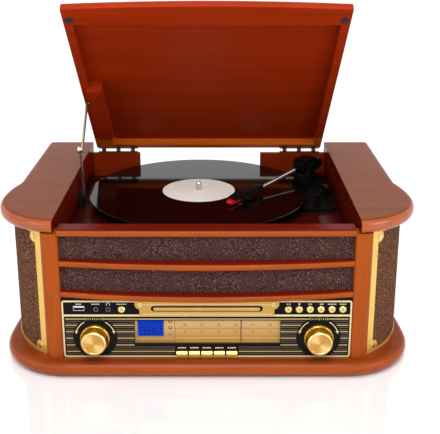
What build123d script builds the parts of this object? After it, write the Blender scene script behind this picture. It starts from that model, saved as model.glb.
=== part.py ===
from build123d import *
from math import acos, cos, degrees, radians, sin, sqrt
import os

os.makedirs("parts", exist_ok=True)

# Stereo music centre: a wooden cabinet with a record deck under a hinged lid, a speaker in each
# rounded side, and a control panel with a CD drawer across the front.
# The origin is on the floor, at the middle of the footprint. X runs to the right, Y to the back.

# ---- Driving dimensions, millimetres ----------------------------------------------------------
running = 0.06  # radial clearance of a shaft in its hole
slide_gap = 0.4  # gap round a button, key or drawer in its opening
air = 0.3  # gap between curved faces of different bodies
joint_gap = 0.02  # glue line between two rails

body_height = 193.5  # floor to the top of the wings
plinth_depth = 360
record_overhang = 20  # of a record behind the back of the plinth

record_radius = 151
record_x = -13
record_thickness = 1.6
spindle_radius = 3.6
well_clearance = 11.5  # edge of a record to the left wing
wing_width = 77
wing_slab = 17
wing_corner = 89
wing_lip = 3  # how far the wings stand out in front of the posts
waist = 9.5  # how much narrower each side is behind its ear

foot_height = 2
foot_radius = 12
foot_inset = 60  # from the sides of the plinth
foot_front_inset = 45
foot_rear_inset = 35
plinth_thickness = 17.5
plinth_corner = 85
plinth_lip = 17  # how far the plinth stands out in front of the posts
plinth_side_inset = 2.5  # behind the sides of the wings
plinth_rear_lip = 1  # how far it stands out beside the wings at the back
cabinet_setback = 4  # of the cabinet's back from the plinth's back
ear_length = 143  # front of the cabinet to where an ear meets its straight side
ear_blend = 30  # radius where an ear meets its straight side

wall_thickness = 9
board_thickness = 6
side_panel_thickness = 12
side_panel_inset = 6.5  # from the sides of the wings
side_panel_setback = 133  # from the front of the cabinet
post_width = 21
post_depth = 20
post_step = 5  # how far a post stands out past the inner wall

grille_radius = 114.8
grille_inset = 12.4  # of the curved wall from the side of the wings
grille_arc_y = 103.2  # behind the front of the cabinet
baffle_thickness = 7
frame_thickness = 1.4
frame_edge = 3.2  # width of the frame's top and bottom strips
frame_lobe = 6.5
screw_head = 2.8
screw_shank = 1.2

rail_height = 8.5
rail_depth = 21.5
top_rail_drop = 19.5  # underside of the top rail below the top of the wings
cloth_setback = 7  # of the front cloth panels from the front of the cabinet
deck_drop = 51.5  # of the deck below the top of the wings
deck_thickness = 6

fascia_height = 77.5
fascia_setback = 1.5  # behind the faces of the posts
fascia_thickness = 3
button_radius = 4.1
button_drop = 14.7  # middle of the buttons below the lower rail
button_inset = 11.2  # middle of the last button from the post
button_count = 6
button_travel = 1.2
key_width = 12.6
key_height = 8
key_pitch = 14.8
key_count = 5
key_travel = 3
knob_inset = 38.5  # from the post
knob_height = 26  # above the top of the plinth
knob_base_radius = 17.4
knob_face_radius = 14.3
knob_length = 18
knob_shaft = 3
tray_half_width = 61.5
tray_height = 5
tray_length = 150
tray_drop = 13.7  # middle of the drawer below the lower rail
display_left = -85.4
display_right = 86.8
display_drop = 29.5  # top of the display below the lower rail
display_height = 31.1
pointer_x = 40.5

platter_radius = 100
platter_rise = 13.6  # top of the platter above the deck
drive_ring = 70
pulley_radius = 4
pulley_distance = 80
pulley_bearing = 140  # direction of the motor pulley from the spindle, degrees
spindle_rise = 29.6  # above the deck

turret_radius = 15
turret_rise = 21  # above the deck
pivot_clearance = 0.6  # between the turret and the edge of a record
pivot_bearing = 23.3  # direction of the tonearm's pivot from the spindle, degrees
pivot_rise = 34  # above the deck
arm_heading = 229.3  # direction from the pivot to the needle, degrees
tube_radius = 2.3

hinge_behind_cabinet = 2.5
hinge_drop = 13  # below the top of the wings
lid_open = 43.2
lid_gap = 5.1  # between the lid and a wing
lid_overhang = 4.5  # of the ends of the lid's front edge, in front of the posts
lid_bow = 6
lid_rear = 2.5
lid_underside = 2.5  # above the hinge line when shut
lid_rail_height = 10.5
lid_board = 3
lid_side_rail = 10.4
lid_front_rail = 30
lid_rear_rail = 10
lid_nose = 10  # rounding of the top of the lid's front edge
batten_width = 17.5
batten_length = 175  # hinge line to the front of the stay's batten
batten_drop = 7
stay_inset = 7.8  # plane between the two arms of the stay, from the wing
stay_foot = (-146.5, -22.5)  # behind and above the hinge line
stay_knee = (-163, 45.5)
stay_lid_pivot = (-141.5, -1.6)  # in the lid's own frame
stay_arm_thickness = 2
stay_arm_half = 3.6
stay_pin = 2

# ---- Places worked out from them --------------------------------------------------------------
front = -(plinth_depth + record_overhang) / 2
plinth_back = front + plinth_depth
cabinet_front = front + plinth_lip
cabinet_back = plinth_back - cabinet_setback
inside_back = cabinet_back - board_thickness
record_y = plinth_back + record_overhang - record_radius
well_half = record_radius - record_x + well_clearance  # half the gap between the wings
wing_half_width = well_half + wing_width
wing_rear_half = wing_half_width - waist
plinth_half_width = wing_half_width - plinth_side_inset
plinth_rear_half = wing_rear_half + plinth_rear_lip
shelf = foot_height + plinth_thickness
under_wing = body_height - wing_slab
carcass_middle = (shelf + under_wing) / 2
deck_top = body_height - deck_drop
ear_end = cabinet_front + ear_length
post_inner = well_half - post_step
post_outer = post_inner + post_width
post_back = cabinet_front + post_depth
side_panel_x = wing_rear_half - side_panel_inset
panel_inner = side_panel_x - side_panel_thickness
side_panel_front = cabinet_front + side_panel_setback
grille_arc = (wing_half_width - grille_inset - grille_radius, cabinet_front + grille_arc_y)
rail_front = cabinet_front - wing_lip
rail_back = rail_front + rail_depth
lower_rail_z = shelf + fascia_height
top_rail_z = body_height - top_rail_drop
rail_pitch = (top_rail_z - lower_rail_z) / 2
middle_rail_z = top_rail_z - rail_pitch
fascia_front = cabinet_front + fascia_setback
fascia_back = fascia_front + fascia_thickness
button_row_z = lower_rail_z - button_drop
knob_x = post_inner - knob_inset
knob_z = shelf + knob_height
tray_z = lower_rail_z - tray_drop
display_top = lower_rail_z - display_drop
display_bottom = display_top - display_height
pivot_distance = record_radius + pivot_clearance + turret_radius
pivot_x = record_x + pivot_distance * cos(radians(pivot_bearing))
pivot_y = record_y + pivot_distance * sin(radians(pivot_bearing))
arm_pivot_z = deck_top + pivot_rise
hinge_y = cabinet_back + hinge_behind_cabinet
hinge_z = body_height - hinge_drop
lid_half_width = well_half - lid_gap
lid_front = hinge_y - cabinet_front + lid_overhang
stay_x = stay_inset - well_half


# ---- Shared shapes ----------------------------------------------------------------------------
def block(x, y, z, mode=Mode.ADD):
    """A box between two limits along each axis."""
    with Locations(((x[0] + x[1]) / 2, (y[0] + y[1]) / 2, (z[0] + z[1]) / 2)):
        Box(x[1] - x[0], y[1] - y[0], z[1] - z[0], mode=mode)


def upright(at, radius, z, mode=Mode.ADD):
    """A round bar standing along Z between two heights."""
    with Locations((at[0], at[1], z[0])):
        Cylinder(radius, z[1] - z[0], align=(Align.CENTER, Align.CENTER, Align.MIN), mode=mode)


def ear(centre, radius, first_angle, rear_x, back):
    """Plan line of a rounded front corner, the ear that swells behind it and the straight side."""
    corner = CenterArc(centre, radius, first_angle, -first_angle)
    swell = TangentArc(corner @ 1, (rear_x, ear_end), tangent=(0, 1))
    side = Line(swell @ 1, (rear_x, back))
    return corner @ 0, side @ 1


def panel_plane(y):
    """Upright plane that faces the front: its own X is X and its own Y is Z."""
    return Plane(origin=(0, y, 0), x_dir=(1, 0, 0), z_dir=(0, -1, 0))


def grille_plane(angle, radius, z=0.0):
    """Plane that touches the right-hand curved wall, facing outward, its own Y along Z."""
    out = (cos(radians(angle)), sin(radians(angle)), 0)
    return Plane(
        origin=(grille_arc[0] + radius * out[0], grille_arc[1] + radius * out[1], z),
        x_dir=(-out[1], out[0], 0),
        z_dir=out,
    )


# ---- Plinth and feet --------------------------------------------------------------------------
with BuildPart() as plinth:
    with BuildSketch(Plane.XY.offset(foot_height)):
        with BuildLine():
            corner_at = (plinth_half_width - plinth_corner, front + plinth_corner)
            start, end = ear(corner_at, plinth_corner, -90, plinth_rear_half, plinth_back)
            Polyline(end, (0, plinth_back), (0, front), start)
        make_face()
        mirror(about=Plane.YZ)
        kinks = [v for v in vertices() if abs(v.Y - ear_end) < 1]
        fillet(kinks, ear_blend)
    extrude(amount=plinth_thickness)
    rim = [
        e
        for e in edges().filter_by(Axis.Z, reverse=True)
        if (e @ 0.5).Y < plinth_back - 1 and abs((e @ 0).Z - (e @ 1).Z) < 0.1
    ]
    fillet(rim, plinth_thickness / 2 - 0.15)

foot_x = plinth_half_width - foot_inset
foot_ys = (front + foot_front_inset, plinth_back - foot_rear_inset)
foot_places = [(side * foot_x, y) for side in (-1, 1) for y in foot_ys]
with BuildPart() as feet:
    for at in foot_places:
        upright(at, foot_radius, (0, foot_height))

# ---- Cabinet carcass --------------------------------------------------------------------------
post_outer_round = 8
post_inner_round = 2.5
with BuildPart() as front_posts:
    with BuildSketch(Plane.XY.offset(shelf)):
        with Locations((post_inner + post_width / 2, cabinet_front + post_depth / 2)):
            Rectangle(post_width, post_depth)
        front_corners = vertices().group_by(Axis.Y)[0].sort_by(Axis.X)
        fillet(front_corners[1], post_outer_round)
        fillet(vertices().group_by(Axis.Y)[0].sort_by(Axis.X)[0], post_inner_round)
    extrude(amount=under_wing - shelf)
    mirror(about=Plane.YZ)

with BuildPart() as side_panels:
    block((panel_inner, side_panel_x), (side_panel_front, inside_back), (shelf, under_wing))
    mirror(about=Plane.YZ)

with BuildPart() as inner_walls:
    block((well_half, well_half + wall_thickness), (post_back, inside_back), (shelf, under_wing))
    mirror(about=Plane.YZ)

with BuildPart() as wing_tops:
    with BuildSketch(Plane.XY.offset(under_wing)):
        with BuildLine():
            corner_at = (wing_half_width - wing_corner, rail_front + wing_corner)
            first = -degrees(acos((well_half - corner_at[0]) / wing_corner))
            start, end = ear(corner_at, wing_corner, first, wing_rear_half, cabinet_back)
            Polyline(end, (well_half, cabinet_back), start)
        make_face()
        fillet([v for v in vertices() if abs(v.Y - ear_end) < 1], ear_blend)
    extrude(amount=wing_slab)
    rim = [
        e
        for e in edges().filter_by(Axis.Z, reverse=True)
        if (e @ 0.5).Y < cabinet_back - 1 and (e @ 0.5).X > well_half + 1
    ]
    fillet(rim, wing_slab / 2 - 1.2)
    mirror(about=Plane.YZ)

# The back panel stands a little above the deck's well, with a gap for the record's overhang.
record_half = sqrt(record_radius**2 - (inside_back - record_y) ** 2) + 1
record_gap_z = deck_top + 8
back_rise = 1.5  # of the back panel between the wings, above their underside
rear_socket_height = 25.5
rear_socket_z = shelf + rear_socket_height
inlet_x = 148
inlet_width = 18
inlet_height = 8.4
inlet_wall = 1.2
inlet_depth = 18
inlet_floor = 4
inlet_pin = 1.2
inlet_pin_pitch = 8.6
line_socket_x = -150
line_socket_pitch = 14
line_socket_radius = 4.2
line_socket_bore = 1.6
line_socket_proud = 6
vent_width = 3
vent_height = 26
vent_pitch = 8
vent_count = 14

with BuildPart() as back_panel:
    with BuildSketch(panel_plane(inside_back)):
        with Locations((0, carcass_middle)):
            Rectangle(2 * side_panel_x, under_wing - shelf)
        with Locations((0, under_wing)):
            Rectangle(2 * well_half - slide_gap, 2 * back_rise)
        gap_height = body_height - record_gap_z
        with Locations((record_x, record_gap_z + gap_height / 2)):
            Rectangle(2 * record_half, gap_height, mode=Mode.SUBTRACT)
        with Locations((0, carcass_middle)):
            with GridLocations(vent_pitch, 1, vent_count, 1):
                SlotOverall(vent_height, vent_width, rotation=90, mode=Mode.SUBTRACT)
        with Locations((inlet_x, rear_socket_z)):
            Rectangle(inlet_width, inlet_height, mode=Mode.SUBTRACT)
        with Locations((line_socket_x, rear_socket_z)):
            with GridLocations(line_socket_pitch, 1, 2, 1):
                Circle(line_socket_radius, mode=Mode.SUBTRACT)
    extrude(amount=-board_thickness)

with BuildPart() as rear_sockets:
    # Mains inlet: a cup with two pins in it.
    cup_front = cabinet_back - inlet_depth
    for wall, floor, mode in ((0, 0, Mode.ADD), (inlet_wall, inlet_floor, Mode.SUBTRACT)):
        half_width = inlet_width / 2 - wall
        half_height = inlet_height / 2 - wall
        block(
            (inlet_x - half_width, inlet_x + half_width),
            (cup_front + floor, cabinet_back),
            (rear_socket_z - half_height, rear_socket_z + half_height),
            mode=mode,
        )
    with BuildSketch(panel_plane(cup_front + inlet_floor - 1)):
        with Locations((inlet_x, rear_socket_z)):
            with GridLocations(inlet_pin_pitch, 1, 2, 1):
                Circle(inlet_pin)
    extrude(amount=-(inlet_depth - inlet_floor - 2))
    # Line sockets: a ring with a bore in it, one beside the other.
    socket_end = cabinet_back + line_socket_proud + 1
    with BuildSketch(panel_plane(socket_end)) as rings:
        with Locations((line_socket_x, rear_socket_z)):
            with GridLocations(line_socket_pitch, 1, 2, 1):
                Circle(line_socket_radius)
    extrude(rings.sketch, amount=2 * line_socket_proud + 1)
    with BuildSketch(panel_plane(socket_end)) as bores:
        with Locations((line_socket_x, rear_socket_z)):
            with GridLocations(line_socket_pitch, 1, 2, 1):
                Circle(line_socket_bore)
    extrude(bores.sketch, amount=10, mode=Mode.SUBTRACT)

# ---- Front rails, cloth panels ----------------------------------------------------------------
top_bow = 1.5  # how far each board bows forward in the middle
middle_bow = 12
lower_bow = 15
upper_cloth_bow = 4
lower_cloth_bow = 9


def bowed_plan(half, back_y, front_y, bow):
    """Plan of a board with a straight back and a front that bows forward in the middle."""
    with BuildLine() as outline:
        Polyline((half, front_y), (half, back_y), (-half, back_y), (-half, front_y))
        ThreePointArc((-half, front_y), (0, front_y - bow), (half, front_y))
    make_face(outline.edges())


with BuildPart() as front_rails:
    for z, front_y, bow in (
        (top_rail_z, rail_front, top_bow),
        (middle_rail_z, cabinet_front, middle_bow),
        (lower_rail_z, cabinet_front, lower_bow),
    ):
        with BuildSketch(Plane.XY.offset(z)):
            bowed_plan(post_inner, rail_back, front_y, bow)
        extrude(amount=rail_height)
    noses = [
        e
        for e in edges().filter_by(GeomType.CIRCLE)
        if (e @ 0.5).Y < cabinet_front and e.length > post_inner
    ]
    fillet(noses, rail_height / 2 - 0.6)

with BuildPart() as front_grilles:
    for z, bow in ((middle_rail_z, upper_cloth_bow), (lower_rail_z, lower_cloth_bow)):
        with BuildSketch(Plane.XY.offset(z + rail_height)):
            bowed_plan(post_inner, rail_back, cabinet_front + cloth_setback, bow)
        extrude(amount=rail_pitch - rail_height)

# ---- Curved speaker sides ---------------------------------------------------------------------
grille_middle = -20  # direction the middle of the curved wall faces, degrees
speaker_radius = 41
speaker_hole = 35
speaker_depth = 25
magnet_radius = 20
magnet_depth = 12
cone_depth = 10
seat_gap = 1.7  # between the edge of a speaker and the curved wall
seat_margin = 2  # of the seat round the speaker
seat_sink = 1.5  # of the seat's ring into the curved wall
screw_fit = 0.1  # round a screw in its hole
wall_inner = grille_radius - baffle_thickness
seat_radius = sqrt(wall_inner**2 - speaker_radius**2) - seat_gap


def curved_wall(inner, outer):
    """Plan of a curved wall between the post and the side panel."""
    with Locations(grille_arc):
        Circle(outer)
        Circle(inner, mode=Mode.SUBTRACT)
    arc_front = grille_arc[1] - outer
    depth = side_panel_front - arc_front
    with Locations((post_outer + outer / 2, arc_front + depth / 2)):
        Rectangle(outer, depth, mode=Mode.INTERSECT)


frame_outer = grille_radius + frame_thickness
frame_start = -degrees(acos((post_outer - grille_arc[0]) / frame_outer))
frame_strip = 9.2  # width of the frame's upright strips, along the curve
lobe_in = 11  # from the frame's end to a lobe's middle, along the curve
lobe_up = 8.5
window_angle = grille_middle - frame_start - degrees(frame_strip / frame_outer)
window_edge = frame_outer * sin(radians(window_angle))
lobe_angle = degrees(lobe_in / frame_outer)
screw_angles = (frame_start + lobe_angle, 2 * grille_middle - frame_start - lobe_angle)
screw_heights = (shelf + lobe_up, under_wing - lobe_up)
lobe_side = frame_outer * sin(radians(grille_middle - screw_angles[0]))

with BuildPart() as side_grilles:
    with BuildSketch(Plane.XY.offset(shelf)):
        curved_wall(wall_inner, grille_radius)
    extrude(amount=under_wing - shelf)
    with BuildSketch(grille_plane(grille_middle, seat_radius, carcass_middle)):
        Circle(speaker_radius + seat_margin)
        Circle(speaker_hole, mode=Mode.SUBTRACT)
    extrude(amount=sqrt(wall_inner**2 - speaker_hole**2) + seat_sink - seat_radius)
    for angle in screw_angles:
        for z in screw_heights:
            with Locations(grille_plane(angle, grille_radius, z)):
                Hole(screw_shank + screw_fit, depth=baffle_thickness - 1)
    mirror(about=Plane.YZ)

with BuildPart() as side_frames:
    with BuildSketch(Plane.XY.offset(shelf)):
        curved_wall(grille_radius, frame_outer)
    extrude(amount=under_wing - shelf)
    with BuildSketch(grille_plane(grille_middle, grille_radius / 2)):
        with Locations((0, carcass_middle)):
            Rectangle(2 * window_edge, under_wing - shelf - 2 * frame_edge)
        with Locations(*[(s * lobe_side, z) for s in (-1, 1) for z in screw_heights]):
            Circle(frame_lobe, mode=Mode.SUBTRACT)
    extrude(amount=grille_radius, mode=Mode.SUBTRACT)
    for angle in screw_angles:
        for z in screw_heights:
            with Locations(grille_plane(angle, frame_outer, z)):
                Hole(screw_shank + screw_fit, depth=3 * frame_thickness)
    mirror(about=Plane.YZ)

with BuildPart() as speakers:
    seat = grille_plane(grille_middle, seat_radius, carcass_middle)
    with BuildSketch(Plane(seat.origin, x_dir=seat.x_dir, z_dir=Vector(0, 0, -1))):
        # Half the section: flange, basket and magnet behind, cone and dust cap in front.
        with BuildLine():
            Polyline(
                (0, -speaker_depth),
                (magnet_radius, -speaker_depth),
                (magnet_radius, magnet_depth - speaker_depth),
                (magnet_radius + 4, magnet_depth - speaker_depth + 1),
                (speaker_radius - 5, -seat_margin),
                (speaker_radius, -seat_margin),
                (speaker_radius, 0),
                (speaker_hole - 1, 0),
                (speaker_hole - 3, -cone_depth / 4),
                (magnet_radius - 7, -cone_depth),
                (magnet_radius - 12, -0.8 * cone_depth),
                (0, -0.7 * cone_depth),
                close=True,
            )
        make_face()
    revolve(axis=Axis(seat.origin, seat.z_dir))
    mirror(about=Plane.YZ)

# ---- Control panel ----------------------------------------------------------------------------
plate_half = 79
plate_height = 23
plate_bottom = lower_rail_z - plate_height
plate_ear_x = plate_half - 1
plate_ear_z = lower_rail_z - 8
plate_ear_radius = 6.6
plate_thickness = 1.2
plate_screws = [(-plate_ear_x, plate_ear_z), (plate_ear_x, plate_ear_z)]
slot_half = tray_half_width + slide_gap + 3.6
slot_height = tray_height + 2.4
button_first_x = plate_half + 16.5
button_last_x = post_inner - button_inset
button_pitch = (button_last_x - button_first_x) / (button_count - 1)
button_xs = [button_first_x + i * button_pitch for i in range(button_count)]
key_xs = [(i - (key_count - 1) / 2) * key_pitch for i in range(key_count)]
key_z = shelf + 1 + key_height / 2
# On the left a button and three sockets share the room between the plate and the post.
side_room = post_inner - plate_half
source_button_x = -plate_half - 0.227 * side_room
jack_xs = (-plate_half - 0.557 * side_room, -plate_half - 0.4 * side_room)
jack_z = button_row_z - 0.4
jack_radius = 3
jack_bore = 1.8
jack_proud = 0.6
usb_x = -plate_half - 0.776 * side_room
usb_width = 13
usb_height = 6
usb_wall = 0.4
socket_fit = 0.1  # round a socket in the panel

with BuildPart() as fascia:
    with BuildSketch(panel_plane(fascia_front)):
        with Locations((0, (shelf + lower_rail_z) / 2)):
            Rectangle(2 * post_inner, lower_rail_z - shelf)
        with Locations((0, tray_z)):
            SlotOverall(2 * slot_half, slot_height, mode=Mode.SUBTRACT)
        with Locations(*[(x, button_row_z) for x in (source_button_x, *button_xs)]):
            Circle(button_radius + slide_gap / 2, mode=Mode.SUBTRACT)
        with Locations(*[(x, key_z) for x in key_xs]):
            Rectangle(key_width + slide_gap, key_height + slide_gap, mode=Mode.SUBTRACT)
        with Locations((-knob_x, knob_z), (knob_x, knob_z)):
            Circle(knob_shaft + slide_gap, mode=Mode.SUBTRACT)
        with Locations((usb_x, tray_z)):
            Rectangle(usb_width + 2 * socket_fit, usb_height + 2 * socket_fit, mode=Mode.SUBTRACT)
        with Locations(*[(x, jack_z) for x in jack_xs]):
            Circle(jack_radius + socket_fit, mode=Mode.SUBTRACT)
        with Locations(((display_left + display_right) / 2, (display_bottom + display_top) / 2)):
            Rectangle(display_right - display_left, display_top - display_bottom, mode=Mode.SUBTRACT)
        with Locations(*plate_screws):
            Circle(screw_shank + screw_fit, mode=Mode.SUBTRACT)
    extrude(amount=-fascia_thickness)

with BuildPart() as cd_plate:
    with BuildSketch(panel_plane(fascia_front)):
        with Locations((0, (plate_bottom + lower_rail_z) / 2)):
            Rectangle(2 * plate_half, lower_rail_z - plate_bottom)
        with Locations(*plate_screws):
            Circle(plate_ear_radius)
        with Locations((0, tray_z)):
            SlotOverall(2 * slot_half, slot_height, mode=Mode.SUBTRACT)
        with Locations(*plate_screws):
            Circle(screw_shank + screw_fit, mode=Mode.SUBTRACT)
    extrude(amount=plate_thickness)


screw_head_height = 1.2
screw_slot = 0.7
screw_length = 5


def screw(plane):
    """Round-headed slotted screw, its head seated on the plane."""
    with BuildSketch(plane) as head:
        Circle(screw_head)
    extrude(head.sketch, amount=screw_head_height)
    with BuildSketch(plane.offset(screw_head_height - screw_slot)) as slot:
        Rectangle(3 * screw_head, screw_slot)
    extrude(slot.sketch, amount=screw_head_height, mode=Mode.SUBTRACT)
    with BuildSketch(plane) as shank:
        Circle(screw_shank)
    extrude(shank.sketch, amount=-screw_length)


with BuildPart() as trim_screws:
    for angle in screw_angles:
        for z in screw_heights:
            screw(grille_plane(angle, frame_outer, z))
    mirror(about=Plane.YZ)
    for x, z in plate_screws:
        screw(Plane(origin=(x, fascia_front - plate_thickness, z), x_dir=(1, 0, 0), z_dir=(0, -1, 0)))

window_thickness = 1
pointer_gap = 0.2
pointer_thickness = 0.7
pointer_half = 0.6
plate_y = fascia_back + 1.2  # face of the dial plate, behind the pointer
dial_plate_thickness = 1.5
rim = 1.5  # of the strips that hold the dial plate off the panel
plate_low = display_bottom - 2
plate_high = display_top + 8
plate_left = display_left - 4
plate_right = display_right + 4
lcd_x = (-82, -51.3)
lcd_height = 21.3
lcd_margin = 1  # below the top of the display
lcd_z = (display_top - lcd_margin - lcd_height, display_top - lcd_margin)
led_x = -43.5
led_radius = 1.3
led_height = 0.6
led_pitch = 8.05
led_drop = 2.7
led_count = 3
led_zs = [display_top - led_drop - i * led_pitch for i in range(led_count)]
guide_x = 24  # middle of the slot that the pointer's hook slides in
guide_z = display_top + 3
guide_length = 128
guide_width = 3
hook_half = 2
slider_half = 5

with BuildPart() as dial_window:
    with BuildSketch(panel_plane(fascia_front)):
        with Locations(((display_left + display_right) / 2, (display_bottom + display_top) / 2)):
            Rectangle(display_right - display_left, display_top - display_bottom)
    extrude(amount=-window_thickness)

with BuildPart() as display_plate:
    with BuildSketch(panel_plane(plate_y)):
        with Locations(((plate_left + plate_right) / 2, (plate_low + plate_high) / 2)):
            Rectangle(plate_right - plate_left, plate_high - plate_low)
        with Locations((sum(lcd_x) / 2, sum(lcd_z) / 2)):
            Rectangle(lcd_x[1] - lcd_x[0], lcd_z[1] - lcd_z[0], mode=Mode.SUBTRACT)
        with Locations((guide_x, guide_z)):
            Rectangle(guide_length, guide_width, mode=Mode.SUBTRACT)
    extrude(amount=-dial_plate_thickness)
    with BuildSketch(panel_plane(plate_y)) as strips:
        for x in (plate_left + rim / 2, plate_right - rim / 2):
            with Locations((x, (plate_low + plate_high) / 2)):
                Rectangle(rim, plate_high - plate_low)
    extrude(strips.sketch, amount=plate_y - fascia_back)
    with BuildSketch(panel_plane(plate_y)) as lamps:
        with Locations(*[(led_x, z) for z in led_zs]):
            Circle(led_radius)
    extrude(lamps.sketch, amount=led_height)

with BuildPart() as lcd_panel:
    block(lcd_x, (plate_y - slide_gap, plate_y + 2 * dial_plate_thickness), lcd_z)

with BuildPart() as dial_pointer:
    # A blade before the dial, a hook through the guide and a slider behind the dial plate.
    blade_back = plate_y - pointer_gap
    slider_front = plate_y + dial_plate_thickness + pointer_gap
    slider_back = slider_front + 2
    hook_z = (guide_z - guide_width / 2 + air, guide_z + guide_width / 2 - air)
    for half, y, z in (
        (pointer_half, (blade_back - pointer_thickness, blade_back), (display_bottom + 1, guide_z + 1)),
        (hook_half, (blade_back - pointer_thickness, slider_back), hook_z),
        (slider_half, (slider_front, slider_back), (guide_z - 4, guide_z + 4)),
    ):
        block((pointer_x - half, pointer_x + half), y, z)

# ---- Buttons, keys and knobs ------------------------------------------------------------------
board_y = fascia_back + 17  # front face of the control board
flange_gap = 0.1
flange_thickness = 1
flange_margin = 0.7  # of a button's flange round its cap
switch_top = 4.5  # height of a switch on the control board
switch_half = 3
control_depth = 9  # of the volume and tuning controls, in front of the board
cap_stands_out = 2.2
cap_chamfer = 0.7
button_stem = 1.6
key_stem = 1.5
key_reach = 5  # how far a key stands out from the panel
key_slope = (2, 2.5)  # back and up


def push_button(x):
    """Round button: a domed cap, a flange that keeps it in the panel, and a stem to its switch."""
    seat = panel_plane(fascia_back + flange_gap)
    with BuildSketch(seat) as cap:
        with Locations((x, button_row_z)):
            Circle(button_radius)
    extrude(cap.sketch, amount=fascia_thickness + flange_gap + cap_stands_out)
    chamfer(edges().filter_by(GeomType.CIRCLE).sort_by(Axis.Y)[0], cap_chamfer)
    with BuildSketch(seat) as flange:
        with Locations((x, button_row_z)):
            Circle(button_radius + flange_margin)
    extrude(flange.sketch, amount=-flange_thickness)
    with BuildSketch(seat) as stem:
        with Locations((x, button_row_z)):
            Circle(button_stem)
    stem_end = board_y - switch_top - air - button_travel
    extrude(stem.sketch, amount=fascia_back + flange_gap - stem_end)


def piano_key(x):
    """Flat key with a sloping top, a flange behind the panel, and a stem to its switch."""
    low = key_z - key_height / 2
    high = key_z + key_height / 2
    key_front = fascia_front - key_reach
    key_back = fascia_back + flange_gap
    with BuildSketch(Plane.YZ.offset(x - key_width / 2)) as side:
        with BuildLine():
            Polyline(
                (key_back, low),
                (key_front, low),
                (key_front, high - key_slope[1]),
                (key_front + key_slope[0], high),
                (key_back, high),
                close=True,
            )
        make_face()
    extrude(side.sketch, amount=key_width)
    flange_top = high + 1.5 * flange_thickness
    block((x - key_width / 2, x + key_width / 2), (key_back, key_back + flange_thickness), (low, flange_top))
    stem_end = board_y - switch_top - air - key_travel
    block((x - key_stem, x + key_stem), (key_back, stem_end), (key_z - key_stem, key_z + key_stem))


buttons = {}
for i, x in enumerate((source_button_x, *button_xs)):
    name = "source_button" if i == 0 else f"function_button_{i}"
    with BuildPart() as buttons[name]:
        push_button(x)
for i, x in enumerate(key_xs):
    with BuildPart() as buttons[f"piano_key_{i + 1}"]:
        piano_key(x)

flute_count = 28
flute_half = 1.1  # half diagonal of a flute's square section
skirt_height = 4.5
skirt_shoulder = (1.2, 1)  # in and up
knob_gap = 0.6  # between a knob and the panel
face_rim = 1.3
face_hollow = 0.6
shaft_in = 6  # of a knob's shaft into its control


def control_knob(x):
    """Spun knob: a fluted skirt, a tapered body, a dished face with a rim, and its shaft."""
    with BuildSketch(Plane.XY.offset(knob_z)) as profile:
        back_y = fascia_front - knob_gap
        skirt_y = back_y - skirt_height
        face_y = fascia_front - knob_length
        rim_outer = x + knob_face_radius - 0.9
        with BuildLine():
            outline = Polyline(
                (x, back_y),
                (x + knob_base_radius, back_y),
                (x + knob_base_radius, skirt_y),
                (x + knob_base_radius - skirt_shoulder[0], skirt_y - skirt_shoulder[1]),
                (x + knob_face_radius + face_hollow, face_y + 1.5),
                (rim_outer, face_y),
                (rim_outer - face_rim, face_y),
                (rim_outer - face_rim - face_hollow, face_y + face_hollow),
                (x, face_y + face_hollow / 3),
            )
            Line(outline @ 1, outline @ 0)
        make_face()
    revolve(profile.sketch, axis=Axis((x, 0, knob_z), (0, 1, 0)))
    with BuildSketch(panel_plane(fascia_front)) as flutes:
        with Locations((x, knob_z)):
            with PolarLocations(knob_base_radius + flute_half / 3, flute_count):
                RegularPolygon(flute_half, 4)
    extrude(flutes.sketch, amount=knob_gap + skirt_height + skirt_shoulder[1], mode=Mode.SUBTRACT)
    with BuildSketch(panel_plane(back_y - 1)) as shaft:
        with Locations((x, knob_z)):
            Circle(knob_shaft)
    extrude(shaft.sketch, amount=back_y - 1 - (board_y - control_depth + shaft_in))


with BuildPart() as volume_knob:
    control_knob(-knob_x)
with BuildPart() as tuning_knob:
    control_knob(knob_x)

# ---- CD drawer --------------------------------------------------------------------------------
disc_recess = 60.5  # radius, for a 120 mm disc
disc_recess_depth = 2.2
disc_finger_hole = 18
disc_behind = 8  # recess behind the front of the tray
front_margin = 0.8  # of the drawer's front in its slot
front_stands_out = 1.2
tray_bottom = tray_z - tray_height / 2
with BuildPart() as cd_tray:
    block(
        (-tray_half_width, tray_half_width),
        (fascia_front - plate_thickness / 2, fascia_back + tray_length),
        (tray_bottom, tray_bottom + tray_height),
    )
    with Locations((0, fascia_back + disc_recess + disc_behind, tray_bottom + tray_height)):
        CounterBoreHole(disc_finger_hole, disc_recess, disc_recess_depth)
    with BuildSketch(panel_plane(fascia_front)):
        with Locations((0, tray_z)):
            SlotOverall(2 * (slot_half - front_margin), slot_height - 2 * front_margin)
    extrude(amount=plate_thickness + front_stands_out)

runner = 6  # section of the rails beside the drawer
runner_rise = 3
chassis_height = 22
chassis_plate = 2.5
chassis_gap = 4  # behind the control board
leg_half = 4
leg_inset = 6
with BuildPart() as cd_mechanism:
    bed_top = tray_bottom - air
    bed_back = fascia_back + tray_length + 8
    chassis_half = tray_half_width + slide_gap + runner
    chassis_x = (-chassis_half, chassis_half)
    chassis_front = board_y + chassis_gap
    block(chassis_x, (chassis_front, bed_back), (bed_top - chassis_height, bed_top))
    block(chassis_x, (fascia_back, chassis_front), (bed_top - chassis_plate, bed_top))
    for side in (-1, 1):
        runner_x = sorted((side * (tray_half_width + slide_gap), side * chassis_half))
        block(runner_x, (fascia_back, bed_back), (bed_top, bed_top + tray_height + runner_rise))
        leg_x = side * (chassis_half - leg_half - 1)
        for y in (chassis_front + leg_inset + 2, bed_back - leg_inset):
            block(
                (leg_x - leg_half, leg_x + leg_half),
                (y - leg_half, y + leg_half),
                (shelf, bed_top - chassis_height),
            )

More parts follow.
